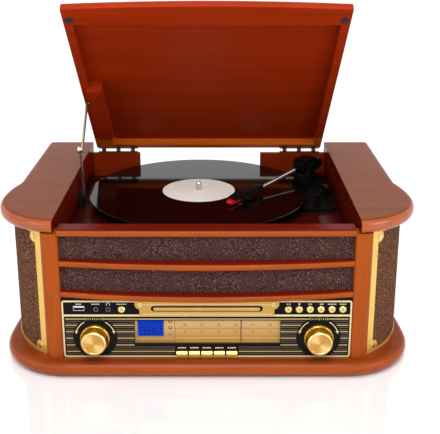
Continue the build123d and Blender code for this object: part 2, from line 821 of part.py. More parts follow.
# ---- Boards inside ----------------------------------------------------------------------------
circuit_thickness = 1.6
board_half = post_inner - 10.5
board_low = shelf + 1.5
board_high = plate_bottom - 3
side_board_inner = plate_half + 9  # wings of the control board beside the drawer
side_board_top = lower_rail_z - 7
pillar_radius = 3
pillar_inset = 5
control_half = 8.5
usb_depth = 12
jack_depth = 14
amplifier_margin = 10  # round its tall parts, and to the back panel
amplifier_depth = 110
amplifier_x = (-60, well_half - 15.5)
amplifier_y = (inside_back - amplifier_margin - amplifier_depth, inside_back - amplifier_margin)
amplifier_z = shelf + 6
transformer_width = 60
transformer_depth = 50
transformer_height = 47
heat_sink_width = 70
heat_sink_thickness = 4
heat_sink_height = 36
capacitor_radius = 8
capacitor_height = 27
capacitor_pitch = 25
capacitor_count = 4
with BuildPart() as circuit_boards:
    # Control board with side wings beside the drawer, on four pillars behind the panel.
    with BuildSketch(panel_plane(board_y)):
        with Locations((0, (board_low + board_high) / 2)):
            Rectangle(2 * board_half, board_high - board_low)
        side_board_x = (side_board_inner + board_half) / 2
        side_board_z = (board_low + side_board_top) / 2
        with Locations((-side_board_x, side_board_z), (side_board_x, side_board_z)):
            Rectangle(board_half - side_board_inner, side_board_top - board_low)
    extrude(amount=-circuit_thickness)
    pillar_x = board_half - pillar_inset
    with BuildSketch(panel_plane(board_y)) as pillars:
        for z in (board_low + pillar_inset, board_high - pillar_inset):
            with Locations((-pillar_x, z), (pillar_x, z)):
                Circle(pillar_radius)
    extrude(pillars.sketch, amount=board_y - fascia_back)
    # A switch behind each button and key.
    switches = [(x, button_row_z) for x in (source_button_x, *button_xs)] + [(x, key_z) for x in key_xs]
    with BuildSketch(panel_plane(board_y)) as switch_bodies:
        with Locations(*switches):
            Rectangle(2 * switch_half, 2 * switch_half)
    extrude(switch_bodies.sketch, amount=switch_top)
    # Volume control and tuning capacitor, each bored for its knob's shaft.
    with BuildSketch(panel_plane(board_y)) as controls:
        with Locations((-knob_x, knob_z), (knob_x, knob_z)):
            Rectangle(2 * control_half, 2 * control_half)
    extrude(controls.sketch, amount=control_depth)
    with BuildSketch(panel_plane(board_y - control_depth)) as shaft_bores:
        with Locations((-knob_x, knob_z), (knob_x, knob_z)):
            Circle(knob_shaft + running)
    extrude(shaft_bores.sketch, amount=-(shaft_in + 1), mode=Mode.SUBTRACT)
    # USB socket and two jack sockets that reach through the panel.
    usb_front = fascia_front - usb_wall
    for wall, back, mode in ((0, board_y, Mode.ADD), (usb_wall, usb_front + usb_depth, Mode.SUBTRACT)):
        half_width = usb_width / 2 - wall
        half_height = usb_height / 2 - wall
        block(
            (usb_x - half_width, usb_x + half_width),
            (usb_front, back),
            (tray_z - half_height, tray_z + half_height),
            mode=mode,
        )
    with BuildSketch(panel_plane(board_y)) as jacks:
        with Locations(*[(x, jack_z) for x in jack_xs]):
            Circle(jack_radius)
    extrude(jacks.sketch, amount=board_y - fascia_front + jack_proud)
    with BuildSketch(panel_plane(fascia_front - jack_proud)) as jack_bores:
        with Locations(*[(x, jack_z) for x in jack_xs]):
            Circle(jack_bore)
    extrude(jack_bores.sketch, amount=-jack_depth, mode=Mode.SUBTRACT)
    # Amplifier and power board on the floor of the cabinet: transformer, heat sink, capacitors.
    board_top = amplifier_z + circuit_thickness
    block(amplifier_x, amplifier_y, (amplifier_z, board_top))
    for x in (amplifier_x[0] + pillar_inset, amplifier_x[1] - pillar_inset):
        for y in (amplifier_y[0] + pillar_inset, amplifier_y[1] - pillar_inset):
            upright((x, y), pillar_radius, (shelf, amplifier_z))
    tall_left = amplifier_x[0] + amplifier_margin
    tall_right = amplifier_x[1] - amplifier_margin
    tall_back = amplifier_y[1] - amplifier_margin
    block(
        (tall_right - transformer_width, tall_right),
        (tall_back - transformer_depth, tall_back),
        (board_top, board_top + transformer_height),
    )
    block(
        (tall_left, tall_left + heat_sink_width),
        (tall_back - heat_sink_thickness, tall_back),
        (board_top, board_top + heat_sink_height),
    )
    capacitor_y = (amplifier_y[0] + amplifier_y[1]) / 2
    for i in range(capacitor_count):
        capacitor_at = (tall_left + capacitor_radius + i * capacitor_pitch, capacitor_y)
        upright(capacitor_at, capacitor_radius, (board_top, board_top + capacitor_height))

# ---- Record deck ------------------------------------------------------------------------------
platter_bottom = deck_top + 2
platter_top = deck_top + platter_rise
platter_wall = 4
platter_floor = 3
mat_thickness = 1.8
record_bottom = platter_top + mat_thickness
record_top = record_bottom + record_thickness
spindle_top = deck_top + spindle_rise
turn = radians(pulley_bearing)
pulley_at = (record_x + pulley_distance * cos(turn), record_y + pulley_distance * sin(turn))
spindle_at = (record_x, record_y)
pivot_at = (pivot_x, pivot_y)
bush_radius = 9
bush_length = 20
bush_floor = 4
spindle_end = deck_top - bush_length + bush_floor + 1
pulley_opening = 7

with BuildPart() as deck:
    deck_bottom = deck_top - deck_thickness
    block((-well_half, well_half), (rail_back, inside_back), (deck_bottom, deck_top))
    for side in (-1, 1):
        x = sorted((side * post_inner, side * well_half))
        block(x, (rail_back, post_back), (deck_bottom, deck_top), mode=Mode.SUBTRACT)
    bush_top = deck_top + 1
    upright(spindle_at, bush_radius, (deck_top - bush_length, bush_top))
    spindle_bore = (deck_top - bush_length + bush_floor, bush_top)
    upright(spindle_at, spindle_radius + running, spindle_bore, mode=Mode.SUBTRACT)
    upright(pulley_at, pulley_opening, (deck_bottom, deck_top), mode=Mode.SUBTRACT)

with BuildPart() as platter:
    with BuildSketch(Plane.XZ.offset(-record_y)):
        underside = platter_top - platter_floor
        hub = record_x + bush_radius + 3
        ring_outer = record_x + drive_ring
        ring_inner = ring_outer - platter_wall
        edge = record_x + platter_radius
        with BuildLine():
            Polyline(
                (record_x + spindle_radius, bush_top + air),
                (hub, bush_top + air),
                (hub, underside),
                (ring_inner, underside),
                (ring_inner, platter_bottom + 2),
                (ring_outer, platter_bottom + 2),
                (ring_outer, underside),
                (edge - platter_wall, underside),
                (edge - platter_wall, platter_bottom),
                (edge, platter_bottom + 1),
                (edge, platter_top - 1),
                (edge - 1, platter_top),
                (record_x + spindle_radius, platter_top),
                close=True,
            )
        make_face()
    revolve(axis=Axis((record_x, record_y, 0), (0, 0, 1)))

with BuildPart() as slip_mat:
    upright(spindle_at, platter_radius - 2, (platter_top, record_bottom))
    upright(spindle_at, spindle_radius, (platter_top, record_bottom), mode=Mode.SUBTRACT)

spindle_cone = (2.4, 1.6)  # down and in
with BuildPart() as spindle:
    upright(spindle_at, spindle_radius, (spindle_end, spindle_top))
    top_edge = edges().filter_by(GeomType.CIRCLE).sort_by(Axis.Z)[-1]
    chamfer(top_edge, length=spindle_cone[0], length2=spindle_cone[1])

label_radius = 50
label_rise = 0.15
record_edge = 0.6
with BuildPart() as record:
    upright(spindle_at, record_radius, (record_bottom, record_top))
    fillet(edges().filter_by(GeomType.CIRCLE), record_edge)
    upright(spindle_at, label_radius, (record_top - record_edge, record_top + label_rise))
    upright(spindle_at, spindle_radius, (record_bottom, record_top + 1), mode=Mode.SUBTRACT)

belt_low = deck_top + 6
belt_high = deck_top + 10
belt_thickness = 1.2
motor_radius = 17.5
motor_height = 26
motor_shaft = 1.2
shaft_length = 12
pulley_rim = 1.4
pulley_margin = 0.6
with BuildPart() as motor_pulley:
    rim_top = belt_low - pulley_margin
    upright(pulley_at, motor_shaft, (deck_bottom - shaft_length, belt_high))
    upright(pulley_at, pulley_radius, (rim_top, belt_high + slide_gap))
    upright(pulley_at, pulley_radius + pulley_rim, (rim_top - 1, rim_top))

with BuildPart() as motor:
    shaft_bore = (deck_bottom - shaft_length - 1, deck_top)
    upright(pulley_at, motor_radius, (deck_bottom - motor_height, deck_bottom))
    upright(pulley_at, motor_shaft + running, shaft_bore, mode=Mode.SUBTRACT)

with BuildPart() as drive_belt:
    for extra, mode in ((belt_thickness + air, Mode.ADD), (air, Mode.SUBTRACT)):
        with BuildSketch(Plane.XY.offset(belt_low)):
            with BuildLine():
                CenterArc(spindle_at, drive_ring + extra, 0, 360)
                CenterArc(pulley_at, pulley_radius + extra, 0, 360)
            make_hull()
        extrude(amount=belt_high - belt_low, mode=mode)

# ---- Tonearm ----------------------------------------------------------------------------------
heading = radians(arm_heading)
arm_plane = Plane(
    origin=(pivot_x, pivot_y, 0), x_dir=(cos(heading), sin(heading), 0), z_dir=(0, 0, 1)
)
turret_z = deck_top + turret_rise
yoke_shaft = 5
yoke_shaft_length = 12
base_thickness = 5
base_top = deck_top + base_thickness
base_back = inside_back - 4
base_right = well_half - 3.5
base_left_reach = 14
base_left = pivot_x - base_left_reach
base_reach = 109  # in front of the pivot
base_front = pivot_y - base_reach
base_step = 10  # out to the left, beside the turret
base_narrow = 40  # length of the narrow front of the base
base_corner = 5
rest_inset = 9
rest_at = (pivot_x + 7, base_front + rest_inset)
rest_radius = 4
rest_rise = 22
rest_top = deck_top + rest_rise
horn_thickness = 3
switch_right = 13
switch_x = pivot_x + switch_right
switch_inset = 34
switch_y = base_front + switch_inset
switch_throw = 14
speed_half = 4
switch_slot = 2
cue_length = 28
cue_setback = 40  # in front of the tonearm's pivot
cue_rise = 8
cue_x = base_right - 6
cue_y = pivot_y - cue_setback
cue_z = base_top + cue_rise
cue_pin = 1.5
cue_half = 2.6
cheek = 2

with BuildPart() as tonearm_base:
    with BuildSketch(Plane.XY.offset(deck_top)):
        with BuildLine():
            Polyline(
                (base_left, base_front),
                (base_right, base_front),
                (base_right, base_back),
                (base_left - base_step, base_back),
                (base_left - base_step, pivot_y - 2 * turret_radius),
                (base_left, base_front + base_narrow),
                close=True,
            )
        make_face()
        fillet(vertices(), base_corner)
    extrude(amount=base_thickness)
    upright(pivot_at, turret_radius, (base_top, turret_z))
    chamfer(edges().filter_by(GeomType.CIRCLE).sort_by(Axis.Z)[-1], length=cap_chamfer)
    yoke_bore = (turret_z - yoke_shaft_length - 1, turret_z)
    upright(pivot_at, yoke_shaft + running, yoke_bore, mode=Mode.SUBTRACT)
    # Rest for the arm, with a horn on its outer side.
    upright(rest_at, rest_radius, (base_top, rest_top))
    horn_x = rest_at[0] + rest_radius
    horn_y = (rest_at[1] - horn_thickness, rest_at[1] + horn_thickness)
    block((horn_x, horn_x + horn_thickness), horn_y, (rest_top - 8, rest_top + 6))
    block((rest_at[0], horn_x + 1), horn_y, (rest_top - 8, rest_top - 3))
    # Two cheeks for the cue lever and a slot for the speed switch.
    for x in (cue_x - cue_half - slide_gap - cheek, cue_x + cue_half + slide_gap):
        block((x, x + cheek), (cue_y - 4, cue_y + 4), (base_top, cue_z + 4))
        with Locations(Plane(origin=(x + cheek, cue_y, cue_z), z_dir=(1, 0, 0))):
            Hole(cue_pin + running, depth=cheek)
    block(
        (switch_x - switch_slot, switch_x + switch_slot),
        (switch_y - speed_half, switch_y + switch_throw + speed_half),
        (base_top - 3, base_top),
        mode=Mode.SUBTRACT,
    )

with BuildPart() as cue_lever:
    pin_half = cue_half + slide_gap + cheek
    with BuildSketch(Plane.YZ.offset(cue_x - pin_half)) as pin:
        with Locations((cue_y, cue_z)):
            Circle(cue_pin)
    extrude(pin.sketch, amount=2 * pin_half)
    with BuildSketch(Plane.YZ.offset(cue_x - cue_half)) as handle:
        with BuildLine():
            Polyline(
                (cue_y - cue_length, cue_z + 5),
                (cue_y - cue_length, cue_z + 7.6),
                (cue_y - 8, cue_z + 4),
                (cue_y + 3.4, cue_z + 3),
                (cue_y + 3.4, cue_z - 3),
                (cue_y - 3.4, cue_z - 3),
                (cue_y - 8, cue_z + 1),
                close=True,
            )
        make_face()
    extrude(handle.sketch, amount=2 * cue_half)

with BuildPart() as speed_switch:
    stem = switch_slot - slide_gap / 2
    stem_y = (switch_y - speed_half + 1, switch_y + speed_half - 1)
    block((switch_x - stem, switch_x + stem), stem_y, (base_top - 3 + air, base_top + 1))
    cap_x = (switch_x - speed_half, switch_x + speed_half)
    cap_y = (switch_y - speed_half, switch_y + speed_half)
    block(cap_x, cap_y, (base_top + air, base_top + 3))
    chamfer(edges().filter_by(Axis.X).group_by(Axis.Z)[-1], 1)

fork_inner = 10
fork_outer = 13.5
fork_foot = 9  # half widths of a cheek of the fork, at its foot and at the pivot
fork_head = 6
trunnion = 1.5
with BuildPart() as arm_yoke:
    with BuildSketch(arm_plane.offset(turret_z + air)) as plate:
        Circle(turret_radius - 1)
    extrude(plate.sketch, amount=2)
    with BuildSketch(arm_plane.offset(turret_z + air)) as shaft:
        Circle(yoke_shaft)
    extrude(shaft.sketch, amount=-yoke_shaft_length)
    for side in (-1, 1):
        cheek_face = Plane(
            origin=arm_plane.from_local_coords((0, side * fork_outer, 0)),
            x_dir=arm_plane.x_dir,
            z_dir=arm_plane.y_dir * -1,
        )
        with BuildSketch(cheek_face) as fork_cheek:
            with BuildLine():
                foot_z = turret_z + 1
                top = (0, arm_pivot_z + fork_head)
                Polyline((-fork_foot, foot_z), (fork_foot, foot_z), (fork_head, arm_pivot_z))
                ThreePointArc((fork_head, arm_pivot_z), top, (-fork_head, arm_pivot_z))
                Line((-fork_head, arm_pivot_z), (-fork_foot, foot_z))
            make_face()
            with Locations((0, arm_pivot_z)):
                Circle(trunnion + running, mode=Mode.SUBTRACT)
        extrude(fork_cheek.sketch, amount=side * (fork_outer - fork_inner))

tube_start = 14  # along the arm from the pivot
tube_end = 104
tube_slope = 5.1
tube_in_shell = 5
housing_rear = 24
housing_front = 15
housing_drop = 9
housing_rise = 11
weight_start = -35
weight_length = 12
weight_radius = 8
weight_drop = 3.5
shell_front = 166
shell_brow = tube_end + 14
shell_slope = 18
shell_half = 7
shell_neck = 4
shell_depth = 2.6
shell_z = record_top + 9.2
lift_inset = 17
lift_at = shell_front - lift_inset
lift_reach = 10
lift_thickness = 1.2
cartridge_half = 4
cartridge_length = 20
cartridge_back = shell_front - cartridge_length
needle_z = record_top + label_rise + air
section = Plane(
    origin=(pivot_x, pivot_y, arm_pivot_z), x_dir=arm_plane.x_dir, z_dir=arm_plane.y_dir * -1
)
drop = sin(radians(tube_slope))
tube_dir = arm_plane.x_dir * cos(radians(tube_slope)) - Vector(0, 0, 1) * drop
tube_from = arm_plane.from_local_coords((tube_start, 0, arm_pivot_z - tube_start * drop))
tube_plane = Plane(tube_from, x_dir=arm_plane.y_dir, z_dir=tube_dir)

with BuildPart() as tonearm:
    # Housing between the fork's arms, the weight behind it, the trunnions and the tube.
    housing_half = fork_inner - air
    with BuildSketch(section.offset(-housing_half)) as housing:
        with BuildLine():
            Polyline(
                (-housing_rear, -housing_drop),
                (housing_front - 3, 1 - housing_drop),
                (housing_front, -housing_drop / 2),
                (housing_front, housing_rise / 2),
                (housing_front - 5, housing_rise - 1),
                (-housing_rear / 2, housing_rise),
                (4 - housing_rear, housing_rise / 2),
                (-housing_rear, 2),
                close=True,
            )
        make_face()
    extrude(housing.sketch, amount=2 * housing_half)
    with BuildSketch(section.offset(-fork_outer)) as trunnions:
        Circle(trunnion)
    extrude(trunnions.sketch, amount=2 * fork_outer)
    weight_at = arm_plane.from_local_coords((weight_start, 0, arm_pivot_z - weight_drop))
    with BuildSketch(Plane(weight_at, x_dir=arm_plane.y_dir, z_dir=arm_plane.x_dir)) as weight:
        Circle(weight_radius)
    extrude(weight.sketch, amount=weight_length)
    with BuildSketch(tube_plane) as tube:
        Circle(tube_radius)
    extrude(tube.sketch, amount=tube_end + tube_in_shell - tube_start)

shell_plane = Plane(
    origin=(pivot_x, pivot_y, shell_z), x_dir=arm_plane.x_dir, z_dir=arm_plane.y_dir * -1
)
with BuildPart() as headshell:
    with BuildSketch(shell_plane.offset(-shell_half)) as side_view:
        with BuildLine():
            Polyline(
                (tube_end - 0.5, -3.4),
                (tube_end - 0.5, 3.2),
                (shell_brow, 4),
                (shell_front - shell_slope, 3.6),
                (shell_front, -0.4),
                (shell_front, -shell_depth),
                (shell_brow + 6, -shell_depth),
                close=True,
            )
        make_face()
    extrude(side_view.sketch, amount=2 * shell_half)
    # The neck narrows to the tube, and a finger lift stands out beside the nose.
    for side in (-1, 1):
        with BuildSketch(arm_plane.offset(shell_z - shell_half)) as waist_cut:
            with BuildLine():
                Polyline(
                    (tube_end - shell_neck, side * shell_neck),
                    (tube_end - shell_neck, side * 2 * shell_half),
                    (shell_brow + 2 * shell_half, side * 2 * shell_half),
                    (shell_brow + shell_half, side * shell_half),
                    (tube_end + 2 * shell_neck, side * shell_neck),
                    close=True,
                )
            make_face()
        extrude(waist_cut.sketch, amount=2 * shell_half, mode=Mode.SUBTRACT)
    with BuildSketch(tube_plane) as tube_bore:
        Circle(tube_radius + running)
    extrude(tube_bore.sketch, amount=tube_end + tube_in_shell + 0.5 - tube_start, mode=Mode.SUBTRACT)
    with BuildSketch(arm_plane.offset(shell_z - shell_depth)) as lift:
        with BuildLine():
            Polyline(
                (lift_at - 5, shell_half - 1),
                (lift_at - 3, shell_half + lift_reach - 1),
                (lift_at + 2, shell_half + lift_reach),
                (lift_at + 4, shell_half - 1),
                close=True,
            )
        make_face()
    extrude(lift.sketch, amount=lift_thickness)

needle_height = 1.8
with BuildPart() as cartridge:
    # Body under the headshell, a slanting stylus guard and the needle's tip.
    guard_z = needle_z - shell_z + needle_height
    with BuildSketch(shell_plane.offset(-cartridge_half)) as body:
        with BuildLine():
            Polyline(
                (cartridge_back, -shell_depth),
                (shell_front + 4, -shell_depth),
                (shell_front + 7, -6),
                (shell_front + 5, guard_z - 0.2),
                (shell_front - cartridge_half * 3, guard_z),
                (cartridge_back, -2 * shell_depth),
                close=True,
            )
        make_face()
    extrude(body.sketch, amount=2 * cartridge_half)
    tip = arm_plane.from_local_coords((shell_front + 3, 0, needle_z + needle_height))
    with Locations(tip):
        Cone(1.2, 0.2, needle_height, rotation=(180, 0, 0), align=(Align.CENTER, Align.CENTER, Align.MIN))

# ---- Lid --------------------------------------------------------------------------------------
tilt = radians(lid_open)
lid_plane = Plane(
    origin=(0, hinge_y, hinge_z), x_dir=(1, 0, 0), z_dir=(0, sin(tilt), cos(tilt))
)
lid_inner_half = lid_half_width - lid_side_rail
rail_split = -lid_front + lid_front_rail
rail_z = (lid_underside, lid_underside + lid_rail_height)
batten_margin = 3  # of the batten's deep part under the side rail
stay_pin_length = 8  # in the batten
lid_top = rail_z[1] + lid_board


def lid_block(x, y, z, mode=Mode.ADD):
    """A box given in the lid's own frame."""
    with BuildSketch(lid_plane.offset(z[0])) as plan:
        with Locations(((x[0] + x[1]) / 2, (y[0] + y[1]) / 2)):
            Rectangle(x[1] - x[0], y[1] - y[0])
    extrude(plan.sketch, amount=z[1] - z[0], mode=mode)


def lid_envelope():
    """The whole lid as one board: bowed front edge with a rounded top."""
    with BuildSketch(lid_plane.offset(rail_z[0])) as plan:
        bowed_plan(lid_half_width, -lid_rear, -lid_front, lid_bow)
    extrude(plan.sketch, amount=lid_top - rail_z[0])
    nose = edges().filter_by(GeomType.CIRCLE).sort_by_distance(
        lid_plane.from_local_coords((0, -lid_front - lid_bow, lid_top))
    )[0]
    fillet(nose, lid_nose)


with BuildPart() as lid_panel:
    lid_envelope()
    split(bisect_by=lid_plane.offset(rail_z[1]), keep=Keep.TOP)
    side_edges = [
        e
        for e in edges()
        if abs(lid_plane.to_local_coords(e @ 0.5).Z - lid_top) < joint_gap
        and lid_plane.to_local_coords(e @ 0.5).Y > -lid_front + lid_nose + 1
    ]
    fillet(side_edges, 0.7 * lid_board)

with BuildPart() as lid_rails:
    # Front rail, then the side rails, the rear rail and the batten that carries the stay.
    lid_envelope()
    split(bisect_by=lid_plane.offset(rail_z[1]), keep=Keep.BOTTOM)
    lid_block((-lid_half_width, lid_half_width), (rail_split, 0), (0, lid_top), mode=Mode.SUBTRACT)
    for side in (-1, 1):
        x = sorted((side * lid_inner_half, side * lid_half_width))
        lid_block(x, (rail_split + joint_gap, -lid_rear), rail_z)
    across = lid_inner_half - joint_gap
    lid_block((-across, across), (-lid_rear - lid_rear_rail, -lid_rear), rail_z)
    batten_x = (-lid_inner_half + joint_gap, -lid_inner_half + batten_width)
    batten_y = (-batten_length, -lid_rear - lid_rear_rail - joint_gap)
    lid_block(batten_x, batten_y, rail_z)
    # The batten's deep part runs under the side rail, clear of it by the glue line.
    deep_x = (batten_x[0] - batten_margin, batten_x[1])
    deep_y = (batten_y[0], batten_y[1] - 1.5)
    lid_block(deep_x, deep_y, (rail_z[0] - batten_drop, rail_z[0] - joint_gap))
    lid_block(batten_x, deep_y, (rail_z[0] - 1, rail_z[0] + 1))
    pin_at = lid_plane.from_local_coords((deep_x[0], *stay_lid_pivot))
    with Locations(Plane(origin=pin_at, z_dir=(-1, 0, 0))):
        Hole(stay_pin + running, depth=stay_pin_length)

bumper_inset = 7.4
bumper_behind = 20
bumper_radius = 4.8
bumper_height = 1.4
with BuildPart() as lid_bumpers:
    bumper_x = lid_half_width - bumper_inset
    with BuildSketch(lid_plane.offset(lid_underside)):
        with Locations((-bumper_x, bumper_behind - lid_front), (bumper_x, bumper_behind - lid_front)):
            Circle(bumper_radius)
    extrude(amount=-bumper_height)

# ---- Lid hinges -------------------------------------------------------------------------------
hinge_half_length = 30
hinge_inset = 32.4
hinge_middle = lid_half_width - hinge_inset
lug_radius = 2.3
lug_width = 3
lug_gap = 0.1
lug_pitch = 22
lugs = (-lug_pitch, 0, lug_pitch)
leaf = 1.5
leaf_width = 8
leaf_z = (under_wing + back_rise, under_wing + back_rise + leaf)
hinge_pin = 1.1
with BuildPart() as hinge_leaves:
    # A leaf on the back panel's edge with three lugs and their pins, on each side.
    for middle in (-hinge_middle, hinge_middle):
        ends = (middle - hinge_half_length, middle + hinge_half_length)
        block(ends, (inside_back + 1, cabinet_back), leaf_z)
        for lug in lugs:
            lug_plane = Plane.YZ.offset(middle + lug - lug_width)
            with BuildSketch(lug_plane) as arm:
                with Locations((hinge_y, hinge_z)):
                    Circle(lug_radius)
                with Locations(((cabinet_back - 1 + hinge_y) / 2, sum(leaf_z) / 2)):
                    Rectangle(hinge_y - cabinet_back + 1, leaf)
            extrude(arm.sketch, amount=lug_width - lug_gap)
            with BuildSketch(lug_plane) as pin:
                with Locations((hinge_y, hinge_z)):
                    Circle(hinge_pin)
            extrude(pin.sketch, amount=2 * lug_width)

with BuildPart() as lid_hinge_leaves:
    for middle in (-hinge_middle, hinge_middle):
        ends = (middle - hinge_half_length, middle + hinge_half_length)
        lid_block(ends, (-lid_rear - leaf_width, -lid_rear), (lid_underside - leaf, lid_underside))
        for lug in lugs:
            lug_plane = Plane(
                origin=(middle + lug + lug_width, hinge_y, hinge_z),
                x_dir=lid_plane.y_dir,
                z_dir=(1, 0, 0),
            )
            with BuildSketch(lug_plane):
                Circle(lug_radius)
                with BuildLine():
                    Polyline(
                        (-lid_rear - 1, lid_underside - leaf),
                        (0, lid_underside - leaf - 1),
                        (0, lid_underside - lug_gap),
                        (-lid_rear - 1, lid_underside),
                        close=True,
                    )
                make_face()
                Circle(hinge_pin + running, mode=Mode.SUBTRACT)
            extrude(amount=lug_gap - lug_width)

# ---- Lid stay ---------------------------------------------------------------------------------
foot_at = (hinge_y + stay_foot[0], hinge_z + stay_foot[1])
knee_at = (hinge_y + stay_knee[0], hinge_z + stay_knee[1])
lid_pivot = lid_plane.from_local_coords((0, *stay_lid_pivot))
lid_pivot_at = (lid_pivot.Y, lid_pivot.Z)
lower_arm_x = stay_x - stay_arm_thickness - air / 2
upper_arm_x = stay_x + air / 2
bracket_x = lower_arm_x - 1.5 * air
bracket_half = 8
knuckle_radius = 4.6
knuckle_thickness = 2


def stay_arm(x, a, b, hole):
    """Flat arm with round ends between two pivots, seen along X, with a hole at its first pivot."""
    with BuildSketch(Plane.YZ.offset(x)) as outline:
        with BuildLine():
            CenterArc(a, stay_arm_half, 0, 360)
            CenterArc(b, stay_arm_half, 0, 360)
        make_hull()
        if hole:
            with Locations(a):
                Circle(stay_pin + running, mode=Mode.SUBTRACT)
    extrude(outline.sketch, amount=stay_arm_thickness)


with BuildPart() as stay_bracket:
    bracket_y = (foot_at[0] - bracket_half, foot_at[0] + bracket_half)
    block((-well_half, bracket_x), bracket_y, (deck_top + 1, foot_at[1] + bracket_half - 2))
    with BuildSketch(Plane.YZ.offset(bracket_x)):
        with Locations(foot_at):
            Circle(stay_pin)
    extrude(amount=lower_arm_x - bracket_x + stay_arm_thickness)

with BuildPart() as stay_lower_arm:
    stay_arm(lower_arm_x, foot_at, knee_at, True)
    with BuildSketch(Plane.YZ.offset(lower_arm_x)):
        with Locations(knee_at):
            Circle(knuckle_radius)
    extrude(amount=-knuckle_thickness)

with BuildPart() as stay_upper_arm:
    stay_arm(upper_arm_x, lid_pivot_at, knee_at, False)
    with BuildSketch(Plane.YZ.offset(upper_arm_x)):
        with Locations(lid_pivot_at):
            Circle(stay_pin)
    extrude(amount=stay_arm_thickness + stay_pin_length + 1.5)

# ---- Labels and files -------------------------------------------------------------------------
pieces = {
    "plinth": plinth,
    "feet": feet,
    "front_posts": front_posts,
    "side_panels": side_panels,
    "inner_walls": inner_walls,
    "wing_tops": wing_tops,
    "back_panel": back_panel,
    "rear_sockets": rear_sockets,
    "front_rails": front_rails,
    "front_grilles": front_grilles,
    "side_grilles": side_grilles,
    "side_frames": side_frames,
    "trim_screws": trim_screws,
    "speakers": speakers,
    "fascia": fascia,
    "cd_plate": cd_plate,
    "cd_tray": cd_tray,
    "cd_mechanism": cd_mechanism,
    "dial_window": dial_window,
    "display_plate": display_plate,
    "lcd_panel": lcd_panel,
    "dial_pointer": dial_pointer,
    "volume_knob": volume_knob,
    "tuning_knob": tuning_knob,
    "circuit_boards": circuit_boards,
    "deck": deck,
    "motor": motor,
    "motor_pulley": motor_pulley,
    "drive_belt": drive_belt,
    "spindle": spindle,
    "platter": platter,
    "slip_mat": slip_mat,
    "record": record,
    "tonearm_base": tonearm_base,
    "arm_yoke": arm_yoke,
    "tonearm": tonearm,
    "headshell": headshell,
    "cartridge": cartridge,
    "cue_lever": cue_lever,
    "speed_switch": speed_switch,
    "lid_panel": lid_panel,
    "lid_rails": lid_rails,
    "lid_bumpers": lid_bumpers,
    "hinge_leaves": hinge_leaves,
    "lid_hinge_leaves": lid_hinge_leaves,
    "stay_bracket": stay_bracket,
    "stay_lower_arm": stay_lower_arm,
    "stay_upper_arm": stay_upper_arm,
    **buttons,
}
for name, piece in pieces.items():
    piece.part.label = name
    export_step(piece.part, f"parts/{name}.step")
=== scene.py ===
import math
import random

import bmesh
import bpy
from mathutils import Matrix, Vector, noise


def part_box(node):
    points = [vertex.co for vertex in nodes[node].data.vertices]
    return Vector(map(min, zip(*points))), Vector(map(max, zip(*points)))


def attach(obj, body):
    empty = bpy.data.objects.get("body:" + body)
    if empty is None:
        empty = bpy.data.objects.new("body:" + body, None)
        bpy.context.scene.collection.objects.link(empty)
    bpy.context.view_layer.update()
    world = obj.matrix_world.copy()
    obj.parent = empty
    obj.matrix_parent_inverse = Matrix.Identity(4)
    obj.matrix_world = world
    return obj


# Looks of the stereo music centre. The imported parts keep their shapes and get their finishes here.
# The cloth, the printing on the control panel and the thin trim are added as pieces of their own, and so are
# painted highlight lines on the disc plate and a painted shadow ring round the tray.
# Lengths in the drawing functions are millimetres in the part's frame; MM turns them into metres.
MM = 0.001
RANDOM_SEED = 7

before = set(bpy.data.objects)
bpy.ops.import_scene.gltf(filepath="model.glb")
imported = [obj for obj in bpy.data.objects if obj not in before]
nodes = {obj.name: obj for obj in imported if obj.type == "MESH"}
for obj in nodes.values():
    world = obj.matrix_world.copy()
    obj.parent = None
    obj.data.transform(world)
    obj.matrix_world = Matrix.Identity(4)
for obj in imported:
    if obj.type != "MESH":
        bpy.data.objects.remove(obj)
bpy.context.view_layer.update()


def box_mm(node):
    """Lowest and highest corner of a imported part, in millimetres."""
    low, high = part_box(node)
    return low / MM, high / MM


# ---- Colours ----------------------------------------------------------------------------------
def srgb(red, green, blue):
    """A colour written as 0 to 255 sRGB values, as the linear values that a shader takes."""
    linear = []
    for value in (red, green, blue):
        v = value / 255
        linear.append(v / 12.92 if v <= 0.04045 else ((v + 0.055) / 1.055) ** 2.4)
    return (*linear, 1.0)


